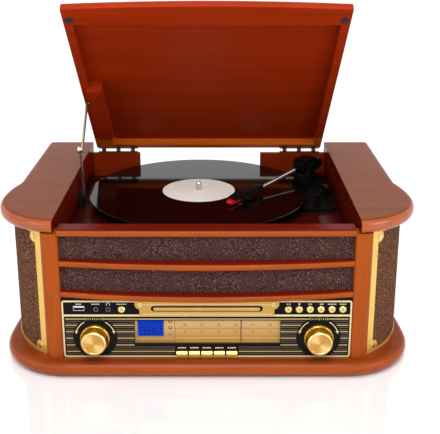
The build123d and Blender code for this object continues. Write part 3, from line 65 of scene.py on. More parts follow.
# ---- Materials --------------------------------------------------------------------------------
class Recipe:
    """One material's node tree, with short calls for the nodes that the finishes below share."""

    def __init__(self, name, **shader):
        self.material = bpy.data.materials.new(name)
        self.material.use_nodes = True
        self.tree = self.material.node_tree
        self.shader = self.tree.nodes["Principled BSDF"]
        for socket, value in shader.items():
            self.shader.inputs[socket.replace("_", " ")].default_value = value
        self.place = self.add("ShaderNodeTexCoord").outputs["Object"]

    def add(self, kind, **settings):
        node = self.tree.nodes.new(kind)
        for key, value in settings.items():
            setattr(node, key, value)
        return node

    def link(self, output, socket):
        self.tree.links.new(output, socket)

    def feed(self, socket, value):
        """Links an output to a socket, or sets the socket's own value."""
        if isinstance(value, bpy.types.NodeSocket):
            self.link(value, socket)
        else:
            socket.default_value = value

    def stretched(self, scale, source=None):
        """Places scaled along each axis, in repeats per metre."""
        mapping = self.add("ShaderNodeMapping")
        mapping.inputs["Scale"].default_value = scale
        self.link(source or self.place, mapping.inputs["Vector"])
        return mapping.outputs["Vector"]

    def noise(self, scale, detail=4.0, roughness=0.55, distortion=0.0):
        node = self.add("ShaderNodeTexNoise")
        self.link(self.stretched(scale), node.inputs["Vector"])
        node.inputs["Scale"].default_value = 1.0
        node.inputs["Detail"].default_value = detail
        node.inputs["Roughness"].default_value = roughness
        node.inputs["Distortion"].default_value = distortion
        return node.outputs["Fac"]

    def math(self, operation, *values, clamp=False):
        node = self.add("ShaderNodeMath", operation=operation, use_clamp=clamp)
        for socket, value in zip(node.inputs, values):
            self.feed(socket, value)
        return node.outputs[0]

    def ramp(self, factor, *stops):
        """Colour along a factor, from (position, colour) stops."""
        node = self.add("ShaderNodeValToRGB")
        elements = node.color_ramp.elements
        while len(elements) < len(stops):
            elements.new(0.5)
        for element, (position, colour) in zip(elements, stops):
            element.position = position
            element.color = colour
        self.link(factor, node.inputs["Fac"])
        return node.outputs["Color"]

    def mix(self, factor, first, second, blend="MIX"):
        node = self.add("ShaderNodeMix", data_type="RGBA", blend_type=blend)
        self.feed(node.inputs[0], factor)
        self.feed(node.inputs[6], first)
        self.feed(node.inputs[7], second)
        return node.outputs[2]

    def separate(self, source=None):
        node = self.add("ShaderNodeSeparateXYZ")
        self.link(source or self.place, node.inputs[0])
        return node.outputs

    def level(self, factor, low, high):
        """A factor from 0 to 1, mapped to run from low to high."""
        node = self.add("ShaderNodeMapRange")
        self.link(factor, node.inputs["Value"])
        node.inputs["To Min"].default_value = low
        node.inputs["To Max"].default_value = high
        return node.outputs[0]

    def step(self, value, edge, soft):
        """0 below the edge and 1 above it, with a soft change between."""
        node = self.add("ShaderNodeMapRange", interpolation_type="SMOOTHSTEP")
        self.feed(node.inputs["Value"], value)
        node.inputs["From Min"].default_value = edge - soft
        node.inputs["From Max"].default_value = edge + soft
        return node.outputs[0]

    def colour(self, value):
        self.feed(self.shader.inputs["Base Color"], value)

    def roughness(self, value):
        self.feed(self.shader.inputs["Roughness"], value)

    def bump(self, height, depth, strength=1.0):
        """Relief of a depth in metres."""
        node = self.add("ShaderNodeBump")
        node.inputs["Strength"].default_value = strength
        node.inputs["Distance"].default_value = depth
        self.link(height, node.inputs["Height"])
        self.link(node.outputs[0], self.shader.inputs["Normal"])


ALONG_X, ALONG_Y, ALONG_Z = (4, 70, 70), (70, 4, 70), (70, 70, 4)


def wood(name, stain_and_shade, grain, gloss=0.12, rough=0.26, zones=()):
    """Stained and lacquered wood: long soft figure, thin darker pores and a satin lacquer.

    A wood colour is a dark, a middle and a light colour: a real stain, except in the places marked below,
    where it is painted shade and painted light. Each zone is (side, edge, soft, colours, gloss): past its
    edge along a side, in metres, the wood takes those colours. "OUT" is the distance from the middle."""
    r = Recipe(name)
    figure = r.noise(grain, detail=5.0, roughness=0.6, distortion=0.6)
    streaks = r.noise(tuple(v * 5 for v in grain), detail=3.0, roughness=0.7)
    clouds = r.noise((6, 6, 6), detail=2.0)
    x, y, z = r.separate()
    sides = {"Y": y, "Z": z, "OUT": r.math("ABSOLUTE", x)}

    def stained_and_shaded(colours):
        dark, middle, light = colours
        base = r.ramp(figure, (0.3, dark), (0.52, middle), (0.75, light))
        return r.mix(r.level(clouds, 0.0, 0.4), base, dark)

    base, shine = stained_and_shaded(stain_and_shade), gloss
    for side, edge, soft, other, other_gloss in zones:
        past = r.step(sides[side], edge, soft)
        base = r.mix(past, base, stained_and_shaded(other))
        if other_gloss != shine:
            before = r.math("MULTIPLY", shine, r.math("SUBTRACT", 1.0, past))
            shine = r.math("ADD", before, r.math("MULTIPLY", past, other_gloss))
    r.feed(r.shader.inputs["Specular IOR Level"], shine)
    pores = r.ramp(streaks, (0.34, srgb(190, 190, 190)), (0.5, srgb(255, 255, 255)))
    base = r.mix(0.3, base, pores, "MULTIPLY")
    r.colour(base)
    r.roughness(r.level(streaks, rough + 0.05, rough - 0.03))
    r.bump(streaks, 0.00002, 0.4)
    return r.material


def gold(name, base=srgb(208, 166, 92), rough=0.3, brushed=(900, 60, 900), metallic=0.9):
    """Anodised gold-coloured metal with a fine brush and faint clouding."""
    r = Recipe(name, Metallic=metallic)
    brush = r.noise(brushed, detail=2.0)
    clouds = r.noise((45, 45, 45), detail=3.0)
    r.colour(r.mix(r.level(clouds, 0.0, 0.5), base, srgb(190, 140, 62)))
    r.roughness(r.level(brush, rough - 0.07, rough + 0.12))
    r.bump(brush, 0.000008, 0.3)
    return r.material


def spun_gold(name, centre, face, rim_radius, axis="Y"):
    """Turned gold-coloured metal, brushed in rings round the centre, with a darker skirt behind its face. The
    face carries painted highlights: a bright sweep across two opposite quarters and a brighter ring at its
    rim.
    """
    r = Recipe(name, Metallic=0.8, Anisotropic=0.6)
    x, y, z = r.separate()
    across = r.math("SUBTRACT", x, centre[0])
    up = r.math("SUBTRACT", z, centre[2])
    square = r.math("ADD", r.math("MULTIPLY", across, across), r.math("MULTIPLY", up, up))
    radius = r.math("SQRT", square)
    rings = r.math("SINE", r.math("MULTIPLY", radius, 2 * math.pi / 0.0007))
    clouds = r.noise((60, 60, 60), detail=3.0)
    # Painted highlight: the face is brighter in its upper left and lower right quarters.
    quarters = r.math("DIVIDE", r.math("MULTIPLY", across, up), r.math("ADD", square, 0.000001))
    painted_sweep = r.math("SUBTRACT", 0.5, quarters)
    top = r.ramp(painted_sweep, (0.1, srgb(196, 148, 70)), (0.6, srgb(216, 170, 92)), (0.95, srgb(244, 212, 138)))
    top = r.mix(r.level(clouds, 0.0, 0.4), top, srgb(206, 156, 78))
    # Painted highlight: a brighter ring at the rim of the face.
    rim = r.step(radius, rim_radius, 0.0004)
    top = r.mix(rim, top, srgb(240, 206, 130))
    skirt = r.mix(r.level(clouds, 0.0, 0.5), srgb(204, 150, 52), srgb(150, 102, 28))
    r.colour(r.mix(r.step(y, face + 0.0011, 0.0005), top, skirt))
    r.roughness(r.level(clouds, 0.2, 0.32))
    r.bump(r.level(rings, 0.0, 1.0), 0.00003, 0.5)
    tangent = r.add("ShaderNodeTangent", direction_type="RADIAL", axis=axis)
    r.link(tangent.outputs[0], r.shader.inputs["Tangent"])
    return r.material


def plastic(name, base, rough, grain=1400, depth=0.00003, spread=0.12, gloss=0.5):
    """Moulded plastic with a fine grain and slightly uneven gloss."""
    r = Recipe(name, Specular_IOR_Level=gloss)
    fine = r.noise((grain, grain, grain), detail=2.0)
    clouds = r.noise((25, 25, 25), detail=3.0)
    lighter = tuple(min(1.0, v * 1.6 + 0.004) for v in base[:3]) + (1.0,)
    r.colour(r.mix(clouds, base, lighter))
    r.roughness(r.level(clouds, rough - spread / 2, rough + spread / 2))
    r.bump(fine, depth, 0.5)
    return r.material


def metal(name, base, rough, brushed=(1200, 1200, 1200), metallic=1.0):
    """Plain metal with faint brush marks."""
    r = Recipe(name, Metallic=metallic)
    brush = r.noise(brushed, detail=2.0)
    clouds = r.noise((40, 40, 40), detail=3.0)
    darker = tuple(v * 0.72 for v in base[:3]) + (1.0,)
    r.colour(r.mix(clouds, base, darker))
    r.roughness(r.level(brush, rough - 0.05, rough + 0.1))
    r.bump(brush, 0.00001, 0.4)
    return r.material


def two_finishes(name, axis, edge, low, high, soft=0.0002):
    """One part with two finishes that meet at a plane across an axis, each (colour, roughness, metallic)."""
    r = Recipe(name, Specular_IOR_Level=0.25)
    place = r.separate()["XYZ".index(axis)]
    side = r.step(place, edge, soft)
    clouds = r.noise((60, 60, 60), detail=3.0)
    fine = r.noise((900, 900, 900), detail=2.0)
    shade = r.ramp(clouds, (0.3, srgb(225, 225, 225)), (0.7, srgb(255, 255, 255)))
    r.colour(r.mix(1.0, r.mix(side, low[0], high[0]), shade, "MULTIPLY"))
    rough = r.math("ADD", low[1], r.math("MULTIPLY", side, high[1] - low[1]))
    r.roughness(r.math("ADD", rough, r.level(fine, -0.04, 0.06)))
    shine = r.math("ADD", low[2], r.math("MULTIPLY", side, high[2] - low[2]))
    r.link(shine, r.shader.inputs["Metallic"])
    r.bump(fine, 0.00001, 0.4)
    return r.material


def button_finish(name, centre):
    """Pale turned button with a deeper dimple in the middle of its face."""
    r = Recipe(name, Metallic=0.75)
    x, y, z = r.separate()
    across = r.math("SUBTRACT", x, centre[0])
    up = r.math("SUBTRACT", z, centre[2])
    square = r.math("ADD", r.math("MULTIPLY", across, across), r.math("MULTIPLY", up, up))
    radius = r.math("SQRT", square)
    clouds = r.noise((120, 120, 120), detail=3.0)
    rim = r.mix(r.level(clouds, 0.0, 0.4), srgb(244, 220, 150), srgb(226, 188, 110))
    r.colour(r.mix(r.step(radius, 0.0014, 0.0004), srgb(198, 148, 70), rim))
    r.roughness(r.level(clouds, 0.22, 0.34))
    r.bump(r.step(radius, 0.0014, 0.0004), 0.0002, 0.6)
    return r.material


def board_finish(name, back, split):
    """Green circuit boards; in front of them the bright shell of the USB socket and the grey jack sockets."""
    r = Recipe(name, Specular_IOR_Level=0.3)
    x, y, z = r.separate()
    fine = r.noise((900, 900, 900), detail=2.0)
    rim = r.mix(r.step(x, split, 0.0002), srgb(206, 206, 204), srgb(92, 92, 96))
    socket = r.mix(r.step(y, panel_front + 0.0004, 0.0002), rim, srgb(14, 14, 15))
    r.colour(r.mix(r.step(y, back, 0.0002), socket, srgb(24, 84, 46)))
    r.roughness(r.level(fine, 0.3, 0.45))
    r.bump(fine, 0.00001, 0.4)
    return r.material


def rear_socket_finish(name, split, end):
    """Black mains inlet and a pair of phono sockets, red on one side of the split and white up to the end."""
    r = Recipe(name, Specular_IOR_Level=0.3)
    x, y, z = r.separate()
    fine = r.noise((900, 900, 900), detail=2.0)
    pair = r.mix(r.step(x, split, 0.0002), srgb(176, 22, 26), srgb(222, 220, 212))
    r.colour(r.mix(r.step(x, end, 0.0002), pair, srgb(16, 16, 17)))
    r.roughness(r.level(fine, 0.32, 0.46))
    r.bump(fine, 0.00001, 0.4)
    return r.material


def tonearm_finish(name, pivot, reach):
    """Silver tube with a black housing and weight round the pivot."""
    r = Recipe(name, Specular_IOR_Level=0.12)
    distance = r.add("ShaderNodeVectorMath", operation="DISTANCE")
    r.link(r.place, distance.inputs[0])
    distance.inputs[1].default_value = pivot
    x, y, z = r.separate()
    tube = r.step(distance.outputs["Value"], reach, 0.0002)
    front = r.step(r.math("ADD", x, y), pivot[0] + pivot[1], 0.001)
    tube = r.math("MULTIPLY", tube, r.math("SUBTRACT", 1.0, front))
    fine = r.noise((900, 900, 900), detail=2.0)
    r.colour(r.mix(tube, srgb(9, 8, 9), srgb(232, 224, 212)))
    r.roughness(r.math("ADD", r.level(tube, 0.36, 0.22), r.level(fine, -0.03, 0.05)))
    r.link(r.level(tube, 0.0, 0.95), r.shader.inputs["Metallic"])
    r.bump(fine, 0.00001, 0.3)
    return r.material


def ink(name, base, rough=0.4, metallic=0.0, gloss=0.2):
    """Printed ink or foil, slightly uneven where it has worn thin. Also used for the painted highlight lines
    on the disc plate and the painted shadow ring round the tray.
    """
    r = Recipe(name, Metallic=metallic, Specular_IOR_Level=gloss)
    wear = r.noise((300, 300, 300), detail=3.0)
    darker = tuple(v * 0.8 for v in base[:3]) + (1.0,)
    r.colour(r.mix(wear, base, darker))
    r.roughness(r.level(wear, rough - 0.08, rough + 0.08))
    return r.material


def woven_cloth(name, dark, middle, light, fleck, coarse):
    """Grille cloth: a basket weave with pale flecks of thicker yarn, so many to the metre."""
    r = Recipe(name, Specular_IOR_Level=0.05)
    x, y, z = r.separate()
    along = r.math("ADD", x, y)
    pitch = 2 * math.pi / 0.0016
    warp = r.math("SINE", r.math("MULTIPLY", along, pitch))
    weft = r.math("SINE", r.math("MULTIPLY", z, pitch))
    weave = r.math("MULTIPLY", warp, weft)
    yarn = r.noise((coarse, coarse, coarse), detail=2.0, roughness=0.8)
    patches = r.noise((90, 90, 90), detail=3.0)
    base = r.ramp(yarn, (0.32, dark), (0.47, middle), (0.58, light), (0.69, fleck))
    base = r.mix(r.level(weave, 0.0, 0.45), base, dark)
    base = r.mix(r.level(patches, 0.0, 0.35), base, dark)
    r.colour(base)
    r.roughness(0.85)
    r.bump(r.math("ADD", weave, yarn), 0.0004, 0.7)
    return r.material


def vinyl(name, centre, label_radius):
    """Black record: fine grooves in rings, smoother bands between tracks, a paper label."""
    r = Recipe(name, Specular_IOR_Level=0.26)
    x, y, z = r.separate()
    across = r.math("SUBTRACT", x, centre[0])
    back = r.math("SUBTRACT", y, centre[1])
    square = r.math("ADD", r.math("MULTIPLY", across, across), r.math("MULTIPLY", back, back))
    radius = r.math("SQRT", square)
    fine = r.math("SINE", r.math("MULTIPLY", radius, 2 * math.pi / 0.0011))
    bands = r.math("SINE", r.math("MULTIPLY", radius, 2 * math.pi / 0.017))
    gap = r.step(bands, 0.975, 0.02)
    label = r.math("SUBTRACT", 1.0, r.step(radius, label_radius, 0.0002))
    paper = r.noise((160, 160, 160), detail=4.0)
    paper_colour = r.ramp(paper, (0.3, srgb(250, 250, 238)), (0.7, srgb(255, 255, 246)))
    black = r.mix(gap, srgb(6, 3, 3), srgb(11, 8, 8))
    r.colour(r.mix(label, black, paper_colour))
    r.roughness(r.math("ADD", r.level(gap, 0.08, 0.05), r.math("MULTIPLY", label, 0.5)))
    groove = r.math("MULTIPLY", fine, r.math("SUBTRACT", 1.0, r.math("MAXIMUM", gap, label)))
    r.bump(groove, 0.000004, 0.2)
    return r.material


def clear_window(name):
    """Clear acrylic with a faint film, seen mostly by its gloss."""
    r = Recipe(name, Specular_IOR_Level=0.05)
    film = r.noise((30, 30, 30), detail=2.0)
    r.colour(srgb(150, 150, 146))
    r.feed(r.shader.inputs["Alpha"], 0.006)
    r.roughness(r.level(film, 0.03, 0.1))
    return r.material


def dial_finish(name, low, high):
    """Pale gold scale plate, deeper in tone towards its foot."""
    r = Recipe(name, Metallic=0.35)
    x, y, z = r.separate()
    up = r.math("DIVIDE", r.math("SUBTRACT", z, low.z), high.z - low.z, clamp=True)
    brush = r.noise((40, 900, 900), detail=2.0)
    clouds = r.noise((45, 45, 45), detail=3.0)
    base = r.ramp(up, (0.25, srgb(188, 140, 74)), (0.55, srgb(208, 166, 100)), (0.95, srgb(222, 184, 120)))
    r.colour(r.mix(r.level(clouds, 0.0, 0.3), base, srgb(190, 142, 78)))
    r.roughness(r.level(brush, 0.36, 0.5))
    r.bump(brush, 0.000008, 0.3)
    return r.material


def lit_display(name, low, high):
    """Backlit blue display, a little lighter towards its edges."""
    r = Recipe(name, Specular_IOR_Level=0.02, Roughness=0.3)
    x, y, z = r.separate()
    width, height = high[0] - low[0], high[2] - low[2]
    across = r.math("ABSOLUTE", r.math("DIVIDE", r.math("SUBTRACT", x, (low[0] + high[0]) / 2), width / 2))
    up = r.math("ABSOLUTE", r.math("DIVIDE", r.math("SUBTRACT", z, (low[2] + high[2]) / 2), height / 2))
    edge = r.math("MAXIMUM", across, up)
    glow = r.mix(r.step(edge, 0.97, 0.08), srgb(0, 50, 170), srgb(16, 66, 184))
    r.colour(glow)
    r.link(glow, r.shader.inputs["Emission Color"])
    r.shader.inputs["Emission Strength"].default_value = 0.3
    return r.material


# Strength of the floor's glow to the camera, near the lamps' brightest spot and away from it.
NEAR_GLOW, FAR_GLOW = 0.0, 0.35
BRIGHT_SPOT, BRIGHT_REACH = (0, -0.42, 0), 0.38


def floor_finish(name):
    """Pale polished floor, darker where the object shades it. The lamps light it to white in front of the
    object, and a glow makes up for what they do not reach further away."""
    r = Recipe(name, Specular_IOR_Level=0.9)
    grain = r.noise((8, 8, 8), detail=2.0)
    r.colour(r.ramp(grain, (0.3, srgb(246, 246, 247)), (0.7, srgb(250, 250, 250))))
    r.roughness(r.level(grain, 0.05, 0.09))
    glow = r.add("ShaderNodeEmission")
    glow.inputs["Color"].default_value = (1, 1, 1, 1)
    path = r.add("ShaderNodeLightPath")
    seen = r.math("MAXIMUM", path.outputs["Is Camera Ray"], path.outputs["Is Glossy Ray"])
    seen = r.math("MAXIMUM", seen, path.outputs["Is Transmission Ray"])
    distance = r.add("ShaderNodeVectorMath", operation="DISTANCE")
    r.link(r.place, distance.inputs[0])
    distance.inputs[1].default_value = BRIGHT_SPOT
    away = r.step(distance.outputs["Value"], BRIGHT_REACH, 0.08)
    r.feed(glow.inputs["Strength"], r.math("MULTIPLY", seen, r.level(away, NEAR_GLOW, FAR_GLOW)))
    both = r.add("ShaderNodeAddShader")
    r.link(r.shader.outputs[0], both.inputs[0])
    r.link(glow.outputs[0], both.inputs[1])
    output = r.tree.nodes["Material Output"]
    r.link(both.outputs[0], output.inputs["Surface"])
    return r.material


def stain_and_shade(red, green, blue):
    """Three wood colours round a middle colour. Most are real stains; the ones marked below are painted shade
    and painted light.
    """
    return tuple(srgb(red * k, green * k, blue * k) for k in (0.9, 1.0, 1.08))


orange = stain_and_shade(172, 79, 24)
brown = stain_and_shade(132, 66, 33)
red = stain_and_shade(164, 46, 8)
plinth_stain = stain_and_shade(164, 74, 26)
# Painted shade for the upward faces of the front rails.
rail_top_shade = stain_and_shade(108, 24, 9)
well_red = stain_and_shade(112, 24, 8)
# Dark red wood darkened further as painted shade, for the deck and the lower well walls.
well_dark_and_shade = stain_and_shade(62, 12, 6)

plinth_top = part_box("plinth")[1].z
wing_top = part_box("wing_tops")[1].z
wing_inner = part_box("deck")[1].x
rail_low, rail_high = (corner.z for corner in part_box("front_rails"))
RAIL_HEIGHT = 0.0085
lid_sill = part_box("lid_rails")[0].z + 0.021

# The plinth's top takes a darker colour than its front: painted shade on the face that looks up.
wood_plinth = wood("wood_plinth", plinth_stain, ALONG_X, gloss=0.14,
                   zones=[("Z", plinth_top - 0.002, 0.002, stain_and_shade(138, 58, 18), 0.08)])
wood_upright = wood("wood_upright", orange, ALONG_Z, gloss=0.08)
# Each front rail is orange up to near its top and darker red on its top strip: painted shade on the faces
# that look up.
rail_zones = []
for i in range(3):
    under = rail_low + i * (rail_high - rail_low - RAIL_HEIGHT) / 2
    rail_zones.append(("Z", under - 0.001, 0.0005, orange, 0.1))
    rail_zones.append(("Z", under + 0.86 * RAIL_HEIGHT, 0.0005, rail_top_shade, 0.04))
wood_rails = wood("wood_rails", orange, ALONG_X, zones=rail_zones)
wood_wings = wood(
    "wood_wings", well_red, ALONG_X, gloss=0.05,
    zones=[("OUT", wing_inner + 0.0006, 0.0004, orange, 0.5), ("Z", wing_top - 0.0014, 0.0006, brown, 0.05)],
)
wood_side = wood("wood_side", stain_and_shade(150, 74, 34), ALONG_Z)
wood_lid = wood("wood_lid", red, ALONG_X, rough=0.4, gloss=0.08)
# The lid's bottom rail, below lid_sill, is a brighter orange than the red rails above it: painted light where
# that rail catches the lamps.
wood_lid_rails = wood("wood_lid_rails", stain_and_shade(206, 96, 22), ALONG_X, rough=0.4, gloss=0.06,
                      zones=[("Z", lid_sill, 0.002, red, 0.06)])
wood_back = wood("wood_back", stain_and_shade(142, 40, 8), ALONG_X)
# The well walls are darker towards the bottom: painted shade deeper in the well.
wood_walls = wood("wood_walls", well_dark_and_shade, ALONG_Y, zones=[("Z", 0.158, 0.012, well_red, 0.05)])
# The deck is dark red wood with the painted shade of the well on it.
wood_deck = wood("wood_deck", well_dark_and_shade, ALONG_X, gloss=0.08)

gold_frame = gold(
    "gold_frame", base=srgb(238, 196, 100), rough=0.36, brushed=(300, 300, 30), metallic=0.6
)
plate_gold = gold("plate_gold", base=srgb(210, 166, 90), brushed=(30, 900, 900))
gold_bright = gold("gold_bright", base=srgb(216, 172, 92), rough=0.3)
pale_brass = metal("pale_brass", srgb(236, 220, 160), 0.18)
# Brass darkened to a bronze tone for the hinges: painted shade and the painted reflection of the red wood
# round them.
bronze = metal("bronze", srgb(120, 72, 50), 0.4)
steel = metal("steel", srgb(214, 208, 196), 0.24)
stay_steel = metal("stay_steel", srgb(150, 138, 112), 0.34)
silver = metal("silver", srgb(226, 222, 214), 0.28)
dark_metal = metal("dark_metal", srgb(38, 36, 36), 0.4, metallic=0.6)
black_plastic = plastic("black_plastic", srgb(9, 8, 9), 0.34, gloss=0.1)
black_gloss = plastic("black_gloss", srgb(14, 11, 9), 0.25, grain=900, depth=0.00001, gloss=0.06)
white_plastic = plastic("white_plastic", srgb(222, 220, 214), 0.4)
matt_black = plastic("matt_black", srgb(7, 6, 6), 0.55, gloss=0.03)
rubber = plastic("rubber", srgb(24, 23, 22), 0.8)
felt = plastic("felt", srgb(22, 21, 22), 0.95, grain=3000, depth=0.0003)
red_plastic = plastic("red_plastic", srgb(196, 14, 24), 0.25, gloss=0.2)
pointer_finish = plastic("pointer_finish", srgb(110, 52, 24), 0.4)
# Pale gold print for the trim and the knob arrows; also the painted highlight lines on the disc plate.
pale_gold_ink_and_highlight = ink("pale_gold_ink_and_highlight", srgb(236, 220, 168), 0.35, 0.2)
stripe_ink = ink("stripe_ink", srgb(206, 178, 118), 0.4, 0.3)
thin_stripe_ink = ink("thin_stripe_ink", srgb(112, 96, 84), 0.5)
# Black print for the knob discs; also the painted shadow ring round the tray.
black_ink_and_gap_shade = ink("black_ink_and_gap_shade", srgb(24, 24, 24), 0.4, gloss=0.06)
white_ink = ink("white_ink", srgb(226, 220, 212), 0.5)
brown_ink = ink("brown_ink", srgb(128, 88, 44), 0.5)
deep_gold_ink = ink("deep_gold_ink", srgb(214, 164, 84), 0.4, 0.2)
digit_ink = ink("digit_ink", srgb(6, 14, 96), 0.4)
front_cloth = woven_cloth(
    "front_cloth", srgb(32, 17, 17), srgb(76, 48, 43), srgb(102, 69, 63), srgb(200, 168, 158), 950
)
side_cloth = woven_cloth(
    "side_cloth", srgb(34, 17, 10), srgb(102, 63, 44), srgb(150, 100, 74), srgb(222, 174, 138), 620
)

record_low, record_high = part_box("record")
record_centre = (record_low + record_high) / 2
knob_middle = {}
for side in ("volume", "tuning"):
    low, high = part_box(f"{side}_knob")
    knob_middle[side] = (low + high) / 2
knob_face = low.y
panel_front, panel_back = (corner.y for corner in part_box("fascia"))
socket_back = panel_back + 0.013
usb_edge = -0.14
arm_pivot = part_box("arm_yoke")
arm_pivot = ((arm_pivot[0].x + arm_pivot[1].x) / 2, (arm_pivot[0].y + arm_pivot[1].y) / 2, 0.176)

finishes = {
    "plinth": wood_plinth,
    "front_posts": wood_upright,
    "front_rails": wood_rails,
    "wing_tops": wood_wings,
    "side_panels": wood_side,
    "back_panel": wood_back,
    "inner_walls": wood_walls,
    "deck": wood_deck,
    "lid_panel": wood_lid,
    "lid_rails": wood_lid_rails,
    "front_grilles": front_cloth,
    "side_grilles": side_cloth,
    "side_frames": gold_frame,
    "trim_screws": pale_brass,
    "fascia": black_gloss,
    "cd_plate": plate_gold,
    "cd_tray": two_finishes(
        "tray_finish", "Y", panel_back - 0.0005,
        low=(srgb(218, 178, 100), 0.28, 0.9), high=(srgb(20, 20, 21), 0.45, 0.0),
    ),
    "display_plate": dial_finish("dial_finish", *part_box("dial_window")),
    "lcd_panel": lit_display("lit_display", *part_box("lcd_panel")),
    "dial_window": clear_window("clear_window"),
    "dial_pointer": pointer_finish,
    "circuit_boards": board_finish("board_finish", socket_back, usb_edge),
    "volume_knob": spun_gold("volume_gold", knob_middle["volume"], knob_face, 0.0128),
    "tuning_knob": spun_gold("tuning_gold", knob_middle["tuning"], knob_face, 0.0128),
    "record": vinyl("vinyl", record_centre, 50 * MM),
    "platter": silver,
    "slip_mat": felt,
    "spindle": steel,
    "motor": steel,
    "motor_pulley": gold_bright,
    "drive_belt": rubber,
    "tonearm": tonearm_finish("tonearm_finish", arm_pivot, 0.026),
    "cartridge": red_plastic,
    "tonearm_base": matt_black,
    "feet": rubber,
    "lid_bumpers": rubber,
    "speakers": dark_metal,
    "rear_sockets": rear_socket_finish("rear_socket_finish", -0.15, -0.13),
    "stay_bracket": dark_metal,
    "stay_lower_arm": silver,
    "stay_upper_arm": stay_steel,
    "hinge_leaves": bronze,
    "lid_hinge_leaves": bronze,
}
for name, node in nodes.items():
    if name.startswith("piano_key"):
        finish = gold_bright
    elif "button" in name:
        low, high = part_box(name)
        finish = button_finish(f"{name}_finish", (low + high) / 2)
    else:
        finish = finishes.get(name, black_plastic)
    node.data.materials.clear()
    node.data.materials.append(finish)


# ---- Shared mesh calls ------------------------------------------------------------------------
def piece(name, mesh_draft, material, body):
    """Turns a finished bmesh into a piece that moves with a body of the part."""
    mesh = bpy.data.meshes.new(name)
    bmesh.ops.recalc_face_normals(mesh_draft, faces=mesh_draft.faces)
    mesh_draft.to_mesh(mesh)
    mesh_draft.free()
    mesh.materials.append(material)
    made = bpy.data.objects.new(name, mesh)
    bpy.context.scene.collection.objects.link(made)
    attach(made, body)
    return made


class Facing:
    """Draws thin raised shapes on an upright face that looks to the front. X and Z in millimetres."""

    def __init__(self, y):
        self.y = y
        self.draft = bmesh.new()

    def point(self, x, z, proud):
        return self.draft.verts.new((x * MM, (self.y - proud) * MM, z * MM))

    def prism(self, outline, proud, base=0.0):
        """A closed outline raised from the face; its last point joins its first."""
        bottom = [self.point(x, z, base) for x, z in outline]
        top = [self.point(x, z, proud) for x, z in outline]
        self.draft.faces.new(top)
        self.draft.faces.new(bottom[::-1])
        for i in range(len(outline)):
            j = (i + 1) % len(outline)
            self.draft.faces.new((bottom[i], bottom[j], top[j], top[i]))

    def bar(self, x0, x1, z0, z1, proud, base=0.0):
        self.prism([(x0, z0), (x1, z0), (x1, z1), (x0, z1)], proud, base)

    def ring(self, outer, inner, proud, base=0.0):
        """The band between two outlines with as many points as each other."""
        loops = [
            [self.point(x, z, height) for x, z in outline]
            for outline, height in ((outer, base), (outer, proud), (inner, proud), (inner, base))
        ]
        count = len(outer)
        for a, b in zip(loops, loops[1:] + loops[:1]):
            for i in range(count):
                j = (i + 1) % count
                self.draft.faces.new((a[i], a[j], b[j], b[i]))

    def disc(self, x, z, radius, proud, steps=40):
        self.prism(circle(x, z, radius, steps), proud)

    def finish(self, name, material, body="cabinet", slot=None):
        return piece(name, self.draft, material, body)


def circle(x, z, radius, steps=40):
    return [
        (x + radius * math.cos(2 * math.pi * i / steps), z + radius * math.sin(2 * math.pi * i / steps))
        for i in range(steps)
    ]


def arc(x, z, radius, first, last, steps=16):
    """Points along part of a circle, its angles in degrees from the X axis."""
    turns = [math.radians(first + (last - first) * i / steps) for i in range(steps + 1)]
    return [(x + radius * math.cos(t), z + radius * math.sin(t)) for t in turns]


def rounded(x0, x1, z0, z1, radius, steps=6):
    """A rectangle with round corners."""
    corners = ((x1 - radius, z1 - radius, 0), (x0 + radius, z1 - radius, 90),
               (x0 + radius, z0 + radius, 180), (x1 - radius, z0 + radius, 270))
    return [p for x, z, turn in corners for p in arc(x, z, radius, turn, turn + 90, steps)]


# ---- Control panel ----------------------------------------------------------------------------
fascia_low = box_mm("fascia")[0]
panel_y = fascia_low.y
knob_x = knob_middle["tuning"].x / MM
knob_z = knob_middle["tuning"].z / MM
display_low, display_high = box_mm("dial_window")
disc_radius = 25.6
INK = 0.08

trim = Facing(panel_y)
trim_left, trim_right, trim_bottom, trim_top = -170, 170, fascia_low.z + 0.2, 93.4
TRIM_WIDTH = 1.9
trim.ring(
    rounded(trim_left, trim_right, trim_bottom, trim_top, 3),
    rounded(trim_left + TRIM_WIDTH, trim_right - TRIM_WIDTH,
            trim_bottom + TRIM_WIDTH, trim_top - TRIM_WIDTH, 1.6),
    0.9,
)
trim.bar(trim_left + 1.5, trim_right - 1.5, 73, 75.4, 0.7)
trim.finish("panel_trim", pale_gold_ink_and_highlight, slot="gold")

STRIPE_ZS = (69.4, 61.2, 52.9, 44.4, 35.4, 26.8)
STRIPE_PITCH = 8.5


def stripe_runs(z, half):
    """The stretches of a stripe that knob discs, display and keys leave free."""
    blocked = []
    reach = disc_radius + 0.8
    if abs(z - knob_z) < reach:
        cut = math.sqrt(reach**2 - (z - knob_z) ** 2)
        blocked += [(-knob_x - cut, -knob_x + cut), (knob_x - cut, knob_x + cut)]
    if display_low.z - 1.5 < z < display_high.z + 1.5:
        blocked.append((display_low.x - 0.5, display_high.x + 0.5))
    if z < 35.5:
        blocked.append((-38, 38))
    start, runs = -half, []
    for first, last in sorted(blocked):
        if first > start:
            runs.append((start, first))
        start = max(start, last)
    if start < half:
        runs.append((start, half))
    return runs


stripes, thin_stripes = Facing(panel_y), Facing(panel_y)
for z in STRIPE_ZS:
    for first, last in stripe_runs(z, 166.6):
        stripes.bar(first, last, z - 0.65, z + 0.65, INK)
    for i in (1, 2):
        low_z = z - i * STRIPE_PITCH / 3
        if low_z > trim_bottom + 3:
            for first, last in stripe_runs(low_z, 166.6):
                thin_stripes.bar(first, last, low_z - 0.4, low_z + 0.4, INK)
stripes.finish("panel_stripes", stripe_ink)
thin_stripes.finish("panel_thin_stripes", thin_stripe_ink)

